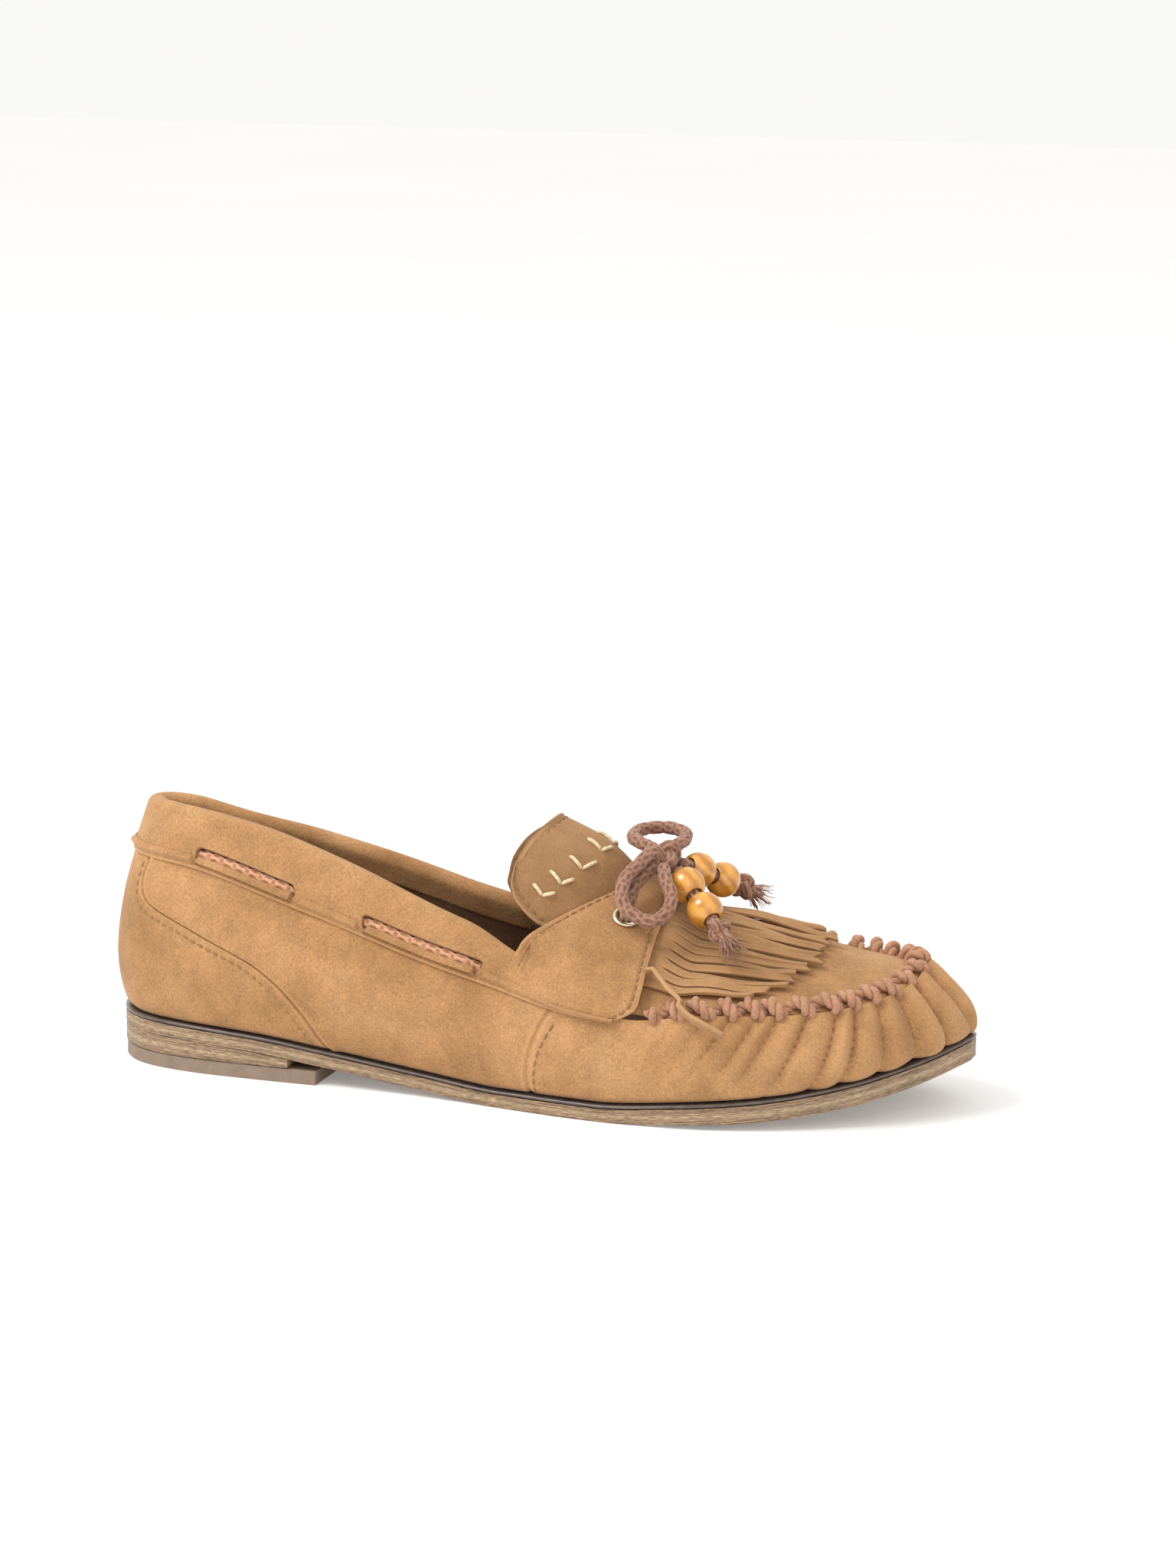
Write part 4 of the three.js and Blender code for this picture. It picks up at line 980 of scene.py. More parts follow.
def collarRows(s, windowLow, windowHigh):
    # rows bunch at the seam's stitching and at the lace windows' two edges
    height = wallHeight(s)
    low = seamShare(s) + sizes["seamGap"] / height
    full = (1 - low) * height
    lows = (windowLow - low * height)
    highs = (windowHigh - low * height)
    rows = [0, 0.35, 0.8, 1.2, 1.5, 1.8, 2.2]
    parts = [np.full_like(full, r) for r in rows]
    parts += [mix(2.2, lows, k / 2) for k in (1, 2)]
    parts += [mix(lows, highs, k / 4) for k in (1, 2, 3, 4)]
    parts += [mix(highs, full, k / 10) for k in range(1, 11)]
    return low, np.stack(parts, axis=-1) / height[..., None] + low[..., None]


def windowSpan(s, x):
    middle = laceShare(s) * wallHeight(s)
    half = np.full_like(middle, collar["windowHeight"] / 2)
    cutOut = np.zeros(middle.shape, bool)
    for first, last in collar["windows"]:
        end = np.minimum(x - first, last - x)
        reach = np.clip(end / (collar["windowHeight"] / 2), 0, 1)
        rounded = collar["windowHeight"] / 2 * np.sqrt(np.clip(1 - (1 - reach) ** 2, 0.04, 1))
        half = np.where(end > 0, rounded, half)
        cutOut |= end > 0
    return middle - half, middle + half, cutOut


def rollSection(s, normal, up, radius, centre, angle):
    crown = wall(s, np.ones_like(s), centre)
    return crown + normal * (radius * np.cos(angle))[..., None] + up * (radius * np.sin(angle))[..., None]


def collarGrid():
    inner = np.linspace(float(innerStation(collar["end"][0])), float(outerStation(collar["end"][0])),
                        collar["columns"])
    x = np.abs(around(0, inner))
    lateralWindow = windowSpan(inner, x)
    low, v = collarRows(inner, lateralWindow[0], lateralWindow[1])
    rise = (v - low[:, None]) / (1 - low[:, None])
    # the end leans forward towards the topline
    station = np.zeros_like(v)
    for k in range(v.shape[1]):
        endX = mix(collar["end"][0], collar["end"][1], rise[:, k])
        lean = smoothstep(x, 95, collar["end"][0]) * (endX - collar["end"][0])
        shifted = np.where(inner > 0, outerStation(x + lean), innerStation(x + lean))
        station[:, k] = np.where(x > 95, shifted, inner)
    # heights are kept as shares above the seam at the leaned station
    lowHere = seamShare(station) + sizes["seamGap"] / wallHeight(station)
    v = mix(lowHere, 1, rise)
    proud = np.full_like(v, sizes["collarProud"])
    base = wall(station, v)
    fromSeam = (v - lowHere) * wallHeight(station)
    stitchGroove = -0.28 * bellAt(fromSeam, stitchFrom["collarSeam"], 0.35)
    swelling = 0.75 * np.exp(-(((v - laceShare(station)) * wallHeight(station)) / 3.4) ** 2)
    swelling *= smoothstep(x, 15, 30)[:, None] * smoothstep(130 - x, 0, 8)[:, None]
    offset = proud + stitchGroove + swelling + 0.16 * unevenness(base, 8.0, 1)
    offset = offset - 0.15 * bellAt(fromSeam, 0, 0.5)
    face = wall(station, v, offset)
    top = station[:, -1]
    normal, up = wallNormal(top, np.full_like(top, 0.985))
    endward = smoothstep(collar["end"][0] - x, 0, 14)
    radius = mix(0.75, (sizes["collarProud"] + sizes["liningDepth"] + sizes["upper"]) / 2, endward)
    centre = offset[:, -1] - radius
    arcs = [rollSection(top, normal, up, radius, centre, np.full_like(top, math.radians(a)))
            for a in (15, 30, 45, 60, 75, 90, 105, 120, 135, 150, 165, 180)]
    fold = [wall(top, 1 - drop / wallHeight(top), centre - radius)
            for drop in (0.8, 2.4, 4.0, sizes["foldDepth"])]
    rows = np.concatenate([face, np.stack(arcs + fold, axis=1)], axis=1)
    skip = np.zeros((rows.shape[0], rows.shape[1]), bool)
    window = windowSpan(inner, x)[2]
    for i in range(len(inner) - 1):
        if window[i] and window[i + 1]:
            skip[i, 8:12] = True
    toneAndPaintedLight = np.zeros(rows.shape[:2])
    toneAndPaintedLight[:, :face.shape[1]] = 0.45 * bellAt(fromSeam, 0, 0.6)
    # the roll's outer shoulder, from its front round to its top, is made a little paler
    crownRows = slice(face.shape[1] + 1, face.shape[1] + 6)
    toneAndPaintedLight[:, crownRows] += 0.10
    return rows, skip, toneAndPaintedLight, face[0], face[-1], v


collarPoints, collarSkip, collarPaleness, medialEnd, lateralEnd, collarShares = collarGrid()


def strapGrid():
    faceRows = collarShares.shape[1]
    riseLateral = np.linalg.norm(lateralEnd - lateralEnd[0], axis=1)
    riseMedial = np.linalg.norm(medialEnd - medialEnd[0], axis=1)
    join = collar["join"]
    first = join * riseLateral / riseLateral[-1]
    last = 1 - join * (riseMedial / riseMedial[-1])[::-1]
    middle = np.linspace(join, 1 - join, collar["strapRows"])[1:-1]
    a = np.concatenate([first, middle, last])
    b = np.unique(np.concatenate([np.linspace(0, 1, collar["strapColumns"]),
                                  [0.012, 0.03, 0.045, 0.06, 0.94, 0.955, 0.97, 0.988]]))
    aa, bb = np.meshgrid(a, b, indexing="ij")
    plain = strapSurface(aa, bb, 0.0)
    shift = np.zeros((len(a), 3))
    shift[:faceRows] = lateralEnd - plain[:faceRows, 0]
    shift[-faceRows:] = medialEnd[::-1] - plain[-faceRows:, 0]
    for k in range(collar["fadeRows"]):
        fade = 1 - smoothstep((k + 1) / collar["fadeRows"], 0, 1)
        shift[faceRows + k] = shift[faceRows - 1] * fade
        shift[-faceRows - 1 - k] = shift[-faceRows] * fade
    hold = 1 - smoothstep(bb, 0, 0.55)
    points = plain + shift[:, None, :] * hold[..., None]
    cross = np.linalg.norm(np.diff(points, axis=1), axis=2)
    fromRear = np.hstack([np.zeros((len(a), 1)), np.cumsum(cross, axis=1)])
    toFront = fromRear[:, -1:] - fromRear
    along = np.linalg.norm(np.diff(points, axis=0), axis=2)
    fromFoot = np.vstack([np.zeros((1, len(b))), np.cumsum(along, axis=0)])
    toFoot = fromFoot[-1:] - fromFoot
    free = smoothstep(aa, join, join + 0.04) * smoothstep(1 - aa, join, join + 0.04)
    rear = np.where(free > 0, fromRear, 99)
    relief = -0.25 * bellAt(toFront, stitchFrom["strapEdge"], 0.4)
    relief = relief - 0.25 * free * bellAt(rear, stitchFrom["strapEdge"], 0.4)
    foot = np.minimum(fromFoot, toFoot)
    relief = relief - 0.28 * bellAt(foot, stitchFrom["collarSeam"], 0.35)
    edge = np.minimum(np.minimum(rear, toFront), foot)
    relief = relief - 0.30 * bellAt(edge, 0, 0.5)
    relief = relief + 0.22 * unevenness(points, 8.0, 1) * smoothstep(edge, 0, 6)
    da = unit(np.gradient(points, axis=0))
    db = unit(np.gradient(points, axis=1))
    normal = -unit(np.cross(da, db))
    joined = hold * (1 - free)
    points = points + normal * (relief * (1 - joined * (bb < 0.02)))[..., None]
    points[:faceRows, 0] = lateralEnd
    points[-faceRows:, 0] = medialEnd[::-1]
    toneAndPaintedLight = 0.5 * bellAt(edge, 0, 0.6)
    return points, toneAndPaintedLight


strapPoints, strapRub = strapGrid()


def saddleCollar():
    rows, columns = collarPoints.shape[:2]
    flat = [collarPoints.reshape(-1, 3), strapPoints.reshape(-1, 3)]
    faces = gridFaces(rows, columns, skip=collarSkip)
    faces += [tuple(reversed(f)) for f in gridFaces(*strapPoints.shape[:2], start=rows * columns)]
    verts = np.concatenate(flat)
    toneAndPaintedLight = np.concatenate([collarPaleness.ravel(), strapRub.ravel()])
    uv = np.concatenate([flat[0][:, [0, 2]], flat[1][:, [0, 1]]]) * 0.001
    obj = addMesh("saddleCollar", place(verts), faces, uv, toneAndPaintedLight)
    onlyThis(obj)
    bpy.ops.object.mode_set(mode="EDIT")
    bpy.ops.mesh.select_all(action="SELECT")
    bpy.ops.mesh.remove_doubles(threshold=0.00002)
    bpy.ops.mesh.delete_loose()
    bpy.ops.mesh.select_all(action="SELECT")
    bpy.ops.mesh.normals_make_consistent(inside=False)
    bpy.ops.object.mode_set(mode="OBJECT")
    top = max(obj.data.polygons, key=lambda f: f.center.z if f.center.x > 0.03 else -1)
    if top.normal.z < 0:
        obj.data.flip_normals()
    thicken(obj, sizes["upper"])
    easeEdges(obj, 0.0003, 60)
    applyAll(obj)
    smoothBy(obj, 50)
    return finishPiece(obj, "shoe", "suede", ("saddle_collar",))


saddleCollar()
print("collar and strap made")

# the lace that runs inside the collar and shows in its windows
s = np.linspace(float(innerStation(131)), float(outerStation(131)), 900)
inWindow = np.zeros_like(s)
for first, last in collar["windows"]:
    x = np.abs(around(0, s))
    inWindow = np.maximum(inWindow, smoothstep(x, first, first + 5) * smoothstep(last - x, 0, 5))
path = wall(s, laceShare(s), mix(-1.7, -0.55, inWindow))
path = evenPath(path, 0.5)
laceInCollar = joinParts("collarLace", [cordMesh("collarLace", path, collar["laceDiameter"], **braiding)])
finishPiece(laceInCollar, "shoe", "collarLace", ("collar_lace",))
print("collar lace made")


# ---------- whip-stitched rope round the apron ----------
rope = {"out": 2.2, "up": 1.9, "strand": 2.15, "strandOffset": 0.95, "twist": 6.5, "inward": 1.9, "lift": 1.5}


def whipRope():
    q = np.linspace(0, seamLength, 2600)
    s = np.interp(q, rimRun, rimStations)
    share = q / seamLength
    toe = bellAt(share, 0.52, 0.12)
    out = outward(s)
    up = np.array([0, 0, 1.0])
    angle = -2 * np.pi * (seamPhase(q) - 0.5) - 0.45
    centre = rim(s) - out * (rope["inward"] + 1.0 * toe)[:, None] + up * (rope["lift"] - 1.6 * toe)[:, None]
    path = centre + out * (rope["out"] * np.cos(angle))[:, None] + up * (rope["up"] * np.sin(angle))[:, None]
    path = evenPath(path, 0.45)
    tangent, side, other = pathFrames(path)
    run = np.arange(len(path)) * 0.45
    parts = []
    for k in (0, np.pi):
        lay = 2 * np.pi * run / rope["twist"] + k
        strand = path + rope["strandOffset"] * (side * np.cos(lay)[:, None] + other * np.sin(lay)[:, None])
        parts.append(cordMesh("strand", strand, rope["strand"], 9))
    obj = joinParts("whipRope", parts)
    return finishPiece(obj, "shoe", "rope", ("seam_cord",))


whipRope()
print("rope made")


# ---------- fringe ----------
fringe = {"count": 21, "pitch": 0.0395, "fill": 0.86, "thickness": 1.15, "lift": 0.45, "loose": 3,
          "ends": [[0, 198], [0.1, 201], [0.2, 207.5], [0.3, 212.5], [0.5, 215.5], [0.65, 214.5], [0.8, 210],
                   [1, 200]]}
strandEndAt = profile(fringe["ends"])
chance = np.random.default_rng(11)


def strandPoints(i):
    share = 0.105 + fringe["pitch"] * (i + 0.5)
    end = float(strandEndAt(share)) + chance.uniform(-2.4, 1.2)
    half = fringe["pitch"] * fringe["fill"] / 2 * chance.uniform(0.9, 1.08)
    t = np.linspace(0, 1, 34)[:, None]
    b = np.linspace(-1, 1, 5)[None, :]
    slope = chance.uniform(-1.3, 1.3)
    x = mix(167.0, end + slope * b, t)
    free = smoothstep(x, 173.5, 196)
    sway = 0.011 * np.sin(t * chance.uniform(3, 6) + chance.uniform(0, 6)) * free * chance.uniform(0.4, 1)
    halfHere = mix(fringe["pitch"] / 2 * 1.02, half, smoothstep(x, 172.5, 174.5))
    w = share + sway + b * halfHere
    tilt = b * chance.uniform(-0.75, 0.75) * free
    lift = fringe["lift"] + free * (0.55 + 0.55 * np.sin(t * chance.uniform(4, 9) + chance.uniform(0, 6)))
    curl = chance.uniform(-0.15, 1.6) * smoothstep(t, 0.75, 1.0) ** 2
    cup = 0.12 * (1 - b ** 2)
    return apron(x, w, fringe["thickness"] + lift + tilt + curl + cup)


def fringeSkin(name, strands, nodes, body):
    verts, faces, rubs = [], [], []
    start = 0
    for points in strands:
        rows, columns = points.shape[:2]
        faces += gridFaces(rows, columns, start=start)
        verts.append(points.reshape(-1, 3))
        across = np.abs(np.linspace(-1, 1, columns))[None, :] * np.ones((rows, 1))
        rubs.append((0.30 * across ** 3 + 0.05).ravel())
        start += rows * columns
    verts = np.concatenate(verts)
    obj = addMesh(name, place(verts), faces, verts[:, :2] * 0.001, np.concatenate(rubs))
    faceAway(obj, insideShoe)
    thicken(obj, fringe["thickness"])
    easeEdges(obj, 0.0002, 60)
    applyAll(obj)
    smoothBy(obj, 50)
    return finishPiece(obj, body, "strand", nodes)


def straySkinPoints():
    route = smoothPath([[170.4, -31.8, 43.2], [171.7, -32.6, 42.3], [176.3, -36.2, 39.1], [181, -40, 36.5],
                        [185.6, -42.9, 33.4], [190.6, -44.6, 31.3], [196.7, -45.6, 28.7]], 0.9)
    tangent = unit(np.gradient(route, axis=0))
    across = unit(np.cross(np.array([0.35, -0.65, -0.67]), tangent))
    normal = np.cross(tangent, across)
    normal = normal * np.sign(normal[:, 2:3] - normal[:, 1:2])
    b = np.linspace(-1, 1, 5)
    width = mix(1.2, 1.75, smoothstep(np.arange(len(route)), 0, len(route) * 0.6))
    bow = 0.25 * (1 - b ** 2)
    return (route[:, None] + across[:, None] * (b[None, :] * width[:, None])[..., None]
            + normal[:, None] * (bow + fringe["thickness"] / 2)[None, :, None])


allStrands = [strandPoints(i) for i in range(fringe["count"])]
fringeSkin("fringeLoose", [*allStrands[:fringe["loose"]], straySkinPoints()],
           ("fringe_lateral", "fringe_stray"), "loose_fringe")
fringeSkin("fringeFixed", allStrands[fringe["loose"]:], ("fringe_header", "fringe_middle", "fringe_medial"),
           "shoe")
print("fringe made")


# ---------- tongue ----------
tongue = {
    "rows": [
        [[160.3, -13.5, 50.2], [162.7, -7, 53.2], [164.7, 2, 55.6], [164.1, 10, 55.1], [162.2, 17, 51.7]],
        [[138.8, -21.5, 50.3], [148, -14, 54.5], [157.4, 3, 62.2], [154.6, 15, 60.2], [144.1, 23, 52.3]],
        [[129.2, -23.8, 57.6], [139.6, -15, 64.9], [147.4, 2, 72.9], [143, 15, 67.9], [133.1, 24, 57.3]],
        [[126.3, -23.5, 65.8], [129.2, -13, 74.2], [133.8, 1, 79.5], [130.4, 14, 74.5], [127.4, 23.5, 65.3]],
    ],
    "fold": 0.41, "corner": 0.12, "chevrons": 8, "chevronRow": 0.64, "legAcross": 0.052, "legAlong": 0.1,
    "thread": 1.15, "width": 60,
}
tongueSheet = sheetThrough(tongue["rows"])


def tongueAt(a, b, offset=0.0):
    return tongueSheet(a, b, -np.asarray(offset, float))


def tongueSpread(a, b, trim=0.0):
    past = np.clip((b - (1 - tongue["corner"])) / tongue["corner"], 0, 1)
    half = (0.5 - trim) * (1 - 0.22 * (1 - np.sqrt(np.clip(1 - past ** 2, 0, 1))))
    return 0.5 + (2 * a - 1) * half


def tongueGrid(low, high, trim, offset, relief=True):
    a = cosineSteps(90)[:, None] * np.ones((1, 100))
    b = mix(low, high, np.sin(np.pi / 2 * np.linspace(0, 1, 100)))[None, :] * np.ones((90, 1))
    u = tongueSpread(a, b, trim)
    base = tongueAt(u, b)
    start, end = distancesAlong(base)
    step = np.linalg.norm(np.diff(base, axis=1), axis=2)
    toTip = np.cumsum(step[:, ::-1], axis=1)[:, ::-1]
    toTip = np.hstack([toTip, np.zeros((90, 1))])
    edge = np.minimum(np.minimum(start, end), toTip)
    bump = offset + 0 * edge
    if relief:
        bump = bump - 0.22 * bellAt(edge, stitchFrom["tongueEdge"], 0.4) + 0.25 * unevenness(base, 7.0, 4)
        bump = bump + 0.35 * bellAt(edge, 0.6, 0.6)
    return tongueAt(u, b, bump), 0.55 * bellAt(edge, 0, 0.55)


def insideTongue(centre):
    return centre * 0 + np.array([-0.02, 0.0018, 0.02])


points, toneAndPaintedLight = tongueGrid(0.05, 1.0, 0.0, 0.0)
tongueSkin = leatherSkin("tongueFlap", points, sizes["upper"], insideTongue, toneAndPaintedLight)
finishPiece(tongueSkin, None, "tongue", ("tongue", "tongue_base"))
foldStart = place(tongueAt(np.array([0.5]), np.array([0.33]))[0])
foldEnd = place(tongueAt(np.array([0.5]), np.array([0.47]))[0])
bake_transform(tongueSkin)
points, toneAndPaintedLight = tongueGrid(tongue["fold"] + 0.02, 0.985, 0.012, -sizes["upper"] - 0.25, False)
tongueBack = leatherSkin("tongueLining", points, sizes["lining"], insideTongue, toneAndPaintedLight * 0)
finishPiece(tongueBack, "tongue_flap", "lining", ("tongue_lining",))


def stitchPart(start, end, normal, thick, rise=0.5, dip=0.6):
    t = np.linspace(0, 1, 9)[:, None]
    arch = (1 - (2 * t - 1) ** 4) * (rise + dip) - dip
    path = start + (end - start) * t + normal * arch * thick
    return cordMesh("stitch", path, thick, 8, taper=0.55 + 0.45 * (1 - (2 * t[:, 0] - 1) ** 6))


def chevronStitches():
    for i in range(tongue["chevrons"]):
        centre = mix(0.13, 0.87, i / (tongue["chevrons"] - 1))
        wobble = 0.004 * math.sin(i * 2.3)

        def at(da, db):
            a, b = np.array([centre + da]), np.array([tongue["chevronRow"] + wobble + db])
            low, high = tongueAt(a, b, 0.05)[0], tongueAt(a, b, 1.05)[0]
            return low, high - low
        up = at(-0.2 * tongue["legAcross"], tongue["legAlong"])
        tip = at(-0.2 * tongue["legAcross"], -0.25 * tongue["legAlong"])
        right = at(tongue["legAcross"], -0.55 * tongue["legAlong"])
        parts = [stitchPart(p[0], q[0], unit(p[1] + q[1]), tongue["thread"])
                 for p, q in ((up, tip), (tip, right))]
        obj = joinParts("chevronStitch_" + str(i + 1), parts)
        finishPiece(obj, "tongue_flap", "chevron", ("tongue_stitch_" + str(i + 1),))


chevronStitches()
print("tongue made")


# ---------- sewn seams ----------
sewing = {"stitch": 2.1, "space": 0.75, "thread": 0.6}


def stitchLine(path, normals, thick=None, stitch=None):
    thick = thick or sewing["thread"]
    stitch = stitch or sewing["stitch"]
    run = runAlong(path)
    parts = []
    at = 0.4
    while at + stitch < run[-1]:
        ends = [np.stack([np.interp(d, run, path[:, k]) for k in range(3)]) for d in (at, at + stitch)]
        normal = unit(np.stack([np.interp(at + stitch / 2, run, normals[:, k]) for k in range(3)]))
        t = np.linspace(0, 1, 5)[:, None]
        arch = (1 - (2 * t - 1) ** 4) * 0.75 - 0.55
        line = ends[0] + (ends[1] - ends[0]) * t + normal * arch * thick
        parts.append(cordMesh("stitch", line, thick, 6))
        at += stitch + sewing["space"]
    return parts


def wallLine(s, v, offset):
    path = wall(s, v, offset)
    return path, wallNormal(s, v)[0]


def surfaceLine(a, b, points):
    low, high = strapSurface(a, b, points), strapSurface(a, b, points + 1)
    return low, high - low


seamParts = []
s = np.linspace(float(innerStation(128.5)), float(outerStation(128.5)), 700)
v = seamShare(s) + (sizes["seamGap"] + stitchFrom["collarSeam"]) / wallHeight(s)
seamParts += stitchLine(*wallLine(s, v, sizes["collarProud"] - 0.1))
for low in (True, False):
    b = np.linspace(0.01, 0.97, 80)
    a = np.full_like(b, 0.0165)
    a = a if low else 1 - a
    seamParts += stitchLine(*surfaceLine(a, b, -0.15))
a = np.linspace(0.095, 0.905, 300)
seamParts += stitchLine(*surfaceLine(a, np.full_like(a, 0.062), -0.1))
a = np.linspace(0.02, 0.98, 300)
strapWidth = np.linalg.norm(strapSurface(a, a * 0 + 1) - strapSurface(a, a * 0), axis=1)
frontShare = 1 - stitchFrom["strapEdge"] / strapWidth
seamParts += stitchLine(*surfaceLine(a, frontShare, -0.1))
for station, sign in ((outerStation, 1), (innerStation, -1)):
    b = np.linspace(0.02, 0.98, 200)
    edge = station(counterEdgeAt(b))
    v = b * topShare(edge)
    seamParts += stitchLine(*wallLine(edge - sign * 2.3 / 16, v, -0.05))
    edge = station(sideSeamAt(b))
    v = b * topShare(edge)
    seamParts += stitchLine(*wallLine(edge + sign * 2.1 / 18, v, -0.05))
seams = joinParts("sewnSeams", seamParts)
finishPiece(seams, "shoe", "stitch", ())

edgeB = np.linspace(0.42, 0.955, 120)
nearA = tongueSpread(np.zeros_like(edgeB), edgeB)
inA = stitchFrom["tongueEdge"] / tongue["width"]
topA = np.linspace(0, 1, 120)
topB = np.full_like(topA, 0.955)
topLine = mix(nearA[-1] + inA, 1 - nearA[-1] - inA, topA)
aLine = np.concatenate([nearA + inA, topLine, (1 - nearA - inA)[::-1]])
bLine = np.concatenate([edgeB, topB, edgeB[::-1]])
low, high = tongueAt(aLine, bLine, -0.12), tongueAt(aLine, bLine, 1.0)
tongueSeam = joinParts("tongueSeam", stitchLine(low, unit(high - low)))
finishPiece(tongueSeam, "tongue_flap", "stitch", ())
print("seams sewn")


# ---------- beads, eyelets and knots ----------
def standAlong(obj, centre, direction):
    turn = Vector((0, 0, 1)).rotation_difference(Vector(direction)).to_matrix().to_4x4()
    obj.matrix_world = Matrix.Translation(Vector(place(np.asarray(centre)))) @ turn
    onlyThis(obj)
    bpy.ops.object.transform_apply(location=True, rotation=True, scale=True)


def makeBead(side, number):
    radius, bore = sizes["bead"] / 2000, sizes["beadBore"] * 0.001
    bpy.ops.object.select_all(action="DESELECT")
    bpy.ops.mesh.primitive_uv_sphere_add(segments=44, ring_count=26, radius=radius, location=(0, 0, 0))
    obj = bpy.context.object
    obj.name = "woodBead_" + side + "_" + str(number + 1)
    cut = math.sqrt(radius ** 2 - bore ** 2)
    bpy.ops.object.mode_set(mode="EDIT")
    for level, clearOuter in ((cut, True), (-cut, False)):
        bpy.ops.mesh.select_all(action="SELECT")
        bpy.ops.mesh.bisect(plane_co=(0, 0, level), plane_no=(0, 0, 1), clear_outer=clearOuter,
                            clear_inner=not clearOuter)
    bpy.ops.mesh.select_all(action="DESELECT")
    bpy.ops.mesh.select_non_manifold()
    bpy.ops.mesh.bridge_edge_loops()
    bpy.ops.mesh.select_all(action="SELECT")
    bpy.ops.mesh.normals_make_consistent(inside=False)
    bpy.ops.object.mode_set(mode="OBJECT")
    easeEdges(obj, 0.0004, 40, 3)
    applyAll(obj)
    smoothBy(obj, 50)
    direction = unit(np.array(lace["tails"][side]["run"]))
    standAlong(obj, tailPoint(side, number * lace["beadStep"]), direction)
    name = "bead_" + side + "_" + str(number + 1)
    body = "bead_" + side + ("_inner" if number == 0 else "_outer")
    return finishPiece(obj, body, "bead", (name,))


def makeEyelet(side):
    centre, normal = eyeletAxis(side)
    bpy.ops.object.select_all(action="DESELECT")
    bpy.ops.mesh.primitive_torus_add(major_segments=56, minor_segments=14, major_radius=0.0033,
                                     minor_radius=0.00085, location=(0, 0, 0))
    obj = bpy.context.object
    obj.name = "eyeletRing_" + side
    obj.scale = (1, 1, 0.62)
    bpy.ops.object.transform_apply(location=False, rotation=False, scale=True)
    bpy.ops.mesh.primitive_cylinder_add(vertices=48, radius=0.0027, depth=0.0034, end_fill_type="NOTHING",
                                        location=(0, 0, -0.0015))
    barrel = bpy.context.object
    thick = barrel.modifiers.new("thickness", "SOLIDIFY")
    thick.thickness = 0.00025
    thick.offset = 1
    applyAll(barrel)
    bpy.ops.object.select_all(action="DESELECT")
    barrel.select_set(True)
    obj.select_set(True)
    bpy.context.view_layer.objects.active = obj
    bpy.ops.object.join()
    smoothBy(obj, 50)
    standAlong(obj, centre + normal * 0.55, normal)
    return finishPiece(obj, "shoe", "eyelet", ("eyelet_" + side,))


def tuftParts(side, start):
    direction = unit(np.array(lace["tails"][side]["run"]))
    a = unit(np.cross(direction, np.array([0, 0, 1.0])))
    b = np.cross(direction, a)
    parts = []
    for k in range(70):
        angle = chance.uniform(0, 2 * np.pi)
        reach = math.sqrt(chance.uniform(0, 1))
        length = chance.uniform(5.5, 9.0)
        t = np.linspace(0, 1, 7)[:, None]
        bend = chance.uniform(-0.8, 0.8)
        spread = (0.5 + 1.0 * reach) + (2.6 * reach + 0.4) * t ** 1.6
        theta = angle + bend * t
        path = (tailPoint(side, start) + direction * t * length
                + a * spread * np.cos(theta) + b * spread * np.sin(theta))
        path = path - np.array([0, 0, 1.0]) * 0.8 * t ** 2
        parts.append(cordMesh("fibre", path, chance.uniform(0.32, 0.55), 5, taper=1 - 0.5 * t[:, 0]))
    return parts


for side in ("lateral", "medial"):
    for number in (0, 1):
        makeBead(side, number)
    makeEyelet(side)
    knotAt = lace["beadStep"] + sizes["bead"] / 2 + 0.6 + sizes["endKnot"]
    tilt = (0.5, 0.9, 0.3) if side == "lateral" else (1.2, -0.4, 0.8)
    knot = knotPath(tailPoint(side, knotAt), 4.3, 3.0, tilt)
    parts = [cordMesh("knot", evenPath(knot, 0.45), 3.0, 16, 0.10, 4.2, 6), *tuftParts(side, knotAt + 1.8)]
    endKnot = joinParts("endKnot_" + side, parts)
    finishPiece(endKnot, "tail_" + side, "lace", ("tail_knot_" + side,))
knot = knotPath(lace["knot"], 6.0, 3.9, (0.7, 0.5, 0.2), 0.9)
bowKnot = joinParts("bowKnot", [cordMesh("knot", evenPath(knot, 0.5), 3.9, **braiding)])
finishPiece(bowKnot, "shoe", "lace", ("lace_knot",))
print("beads, eyelets and knots made")


# ---------- sole ----------
sole = {
    "thickness": [[0, 3.6], [140, 3.8], [166, 4], [192, 4.8], [214, 5.2], [258, 5.5]],
    "liftTop": 4.2, "breast": 69.8, "wedgeEnd": 61.0, "filler": 1.5, "insole": 1.8, "sock": 1.5,
    "ease": 0.5,
}
soleThickness = profile(sole["thickness"])
edgeTable = {}


def edgeAt(x, side, inset):
    if (side, inset) not in edgeTable:
        half = outerHalf if side < 0 else ~outerHalf
        ring = soleEdge(fineStations) - outward(fineStations) * inset
        xs, ys = ring[half, 0], ring[half, 1]
        order = np.argsort(xs, kind="stable")
        edgeTable[(side, inset)] = (xs[order], ys[order])
    return np.interp(x, *edgeTable[(side, inset)])


def outsoleTop(x):
    return soleTop(x) - sizes["rand"] - sizes["gap"]


def outsoleBottom(x):
    return np.maximum(0, outsoleTop(x) - soleThickness(x))


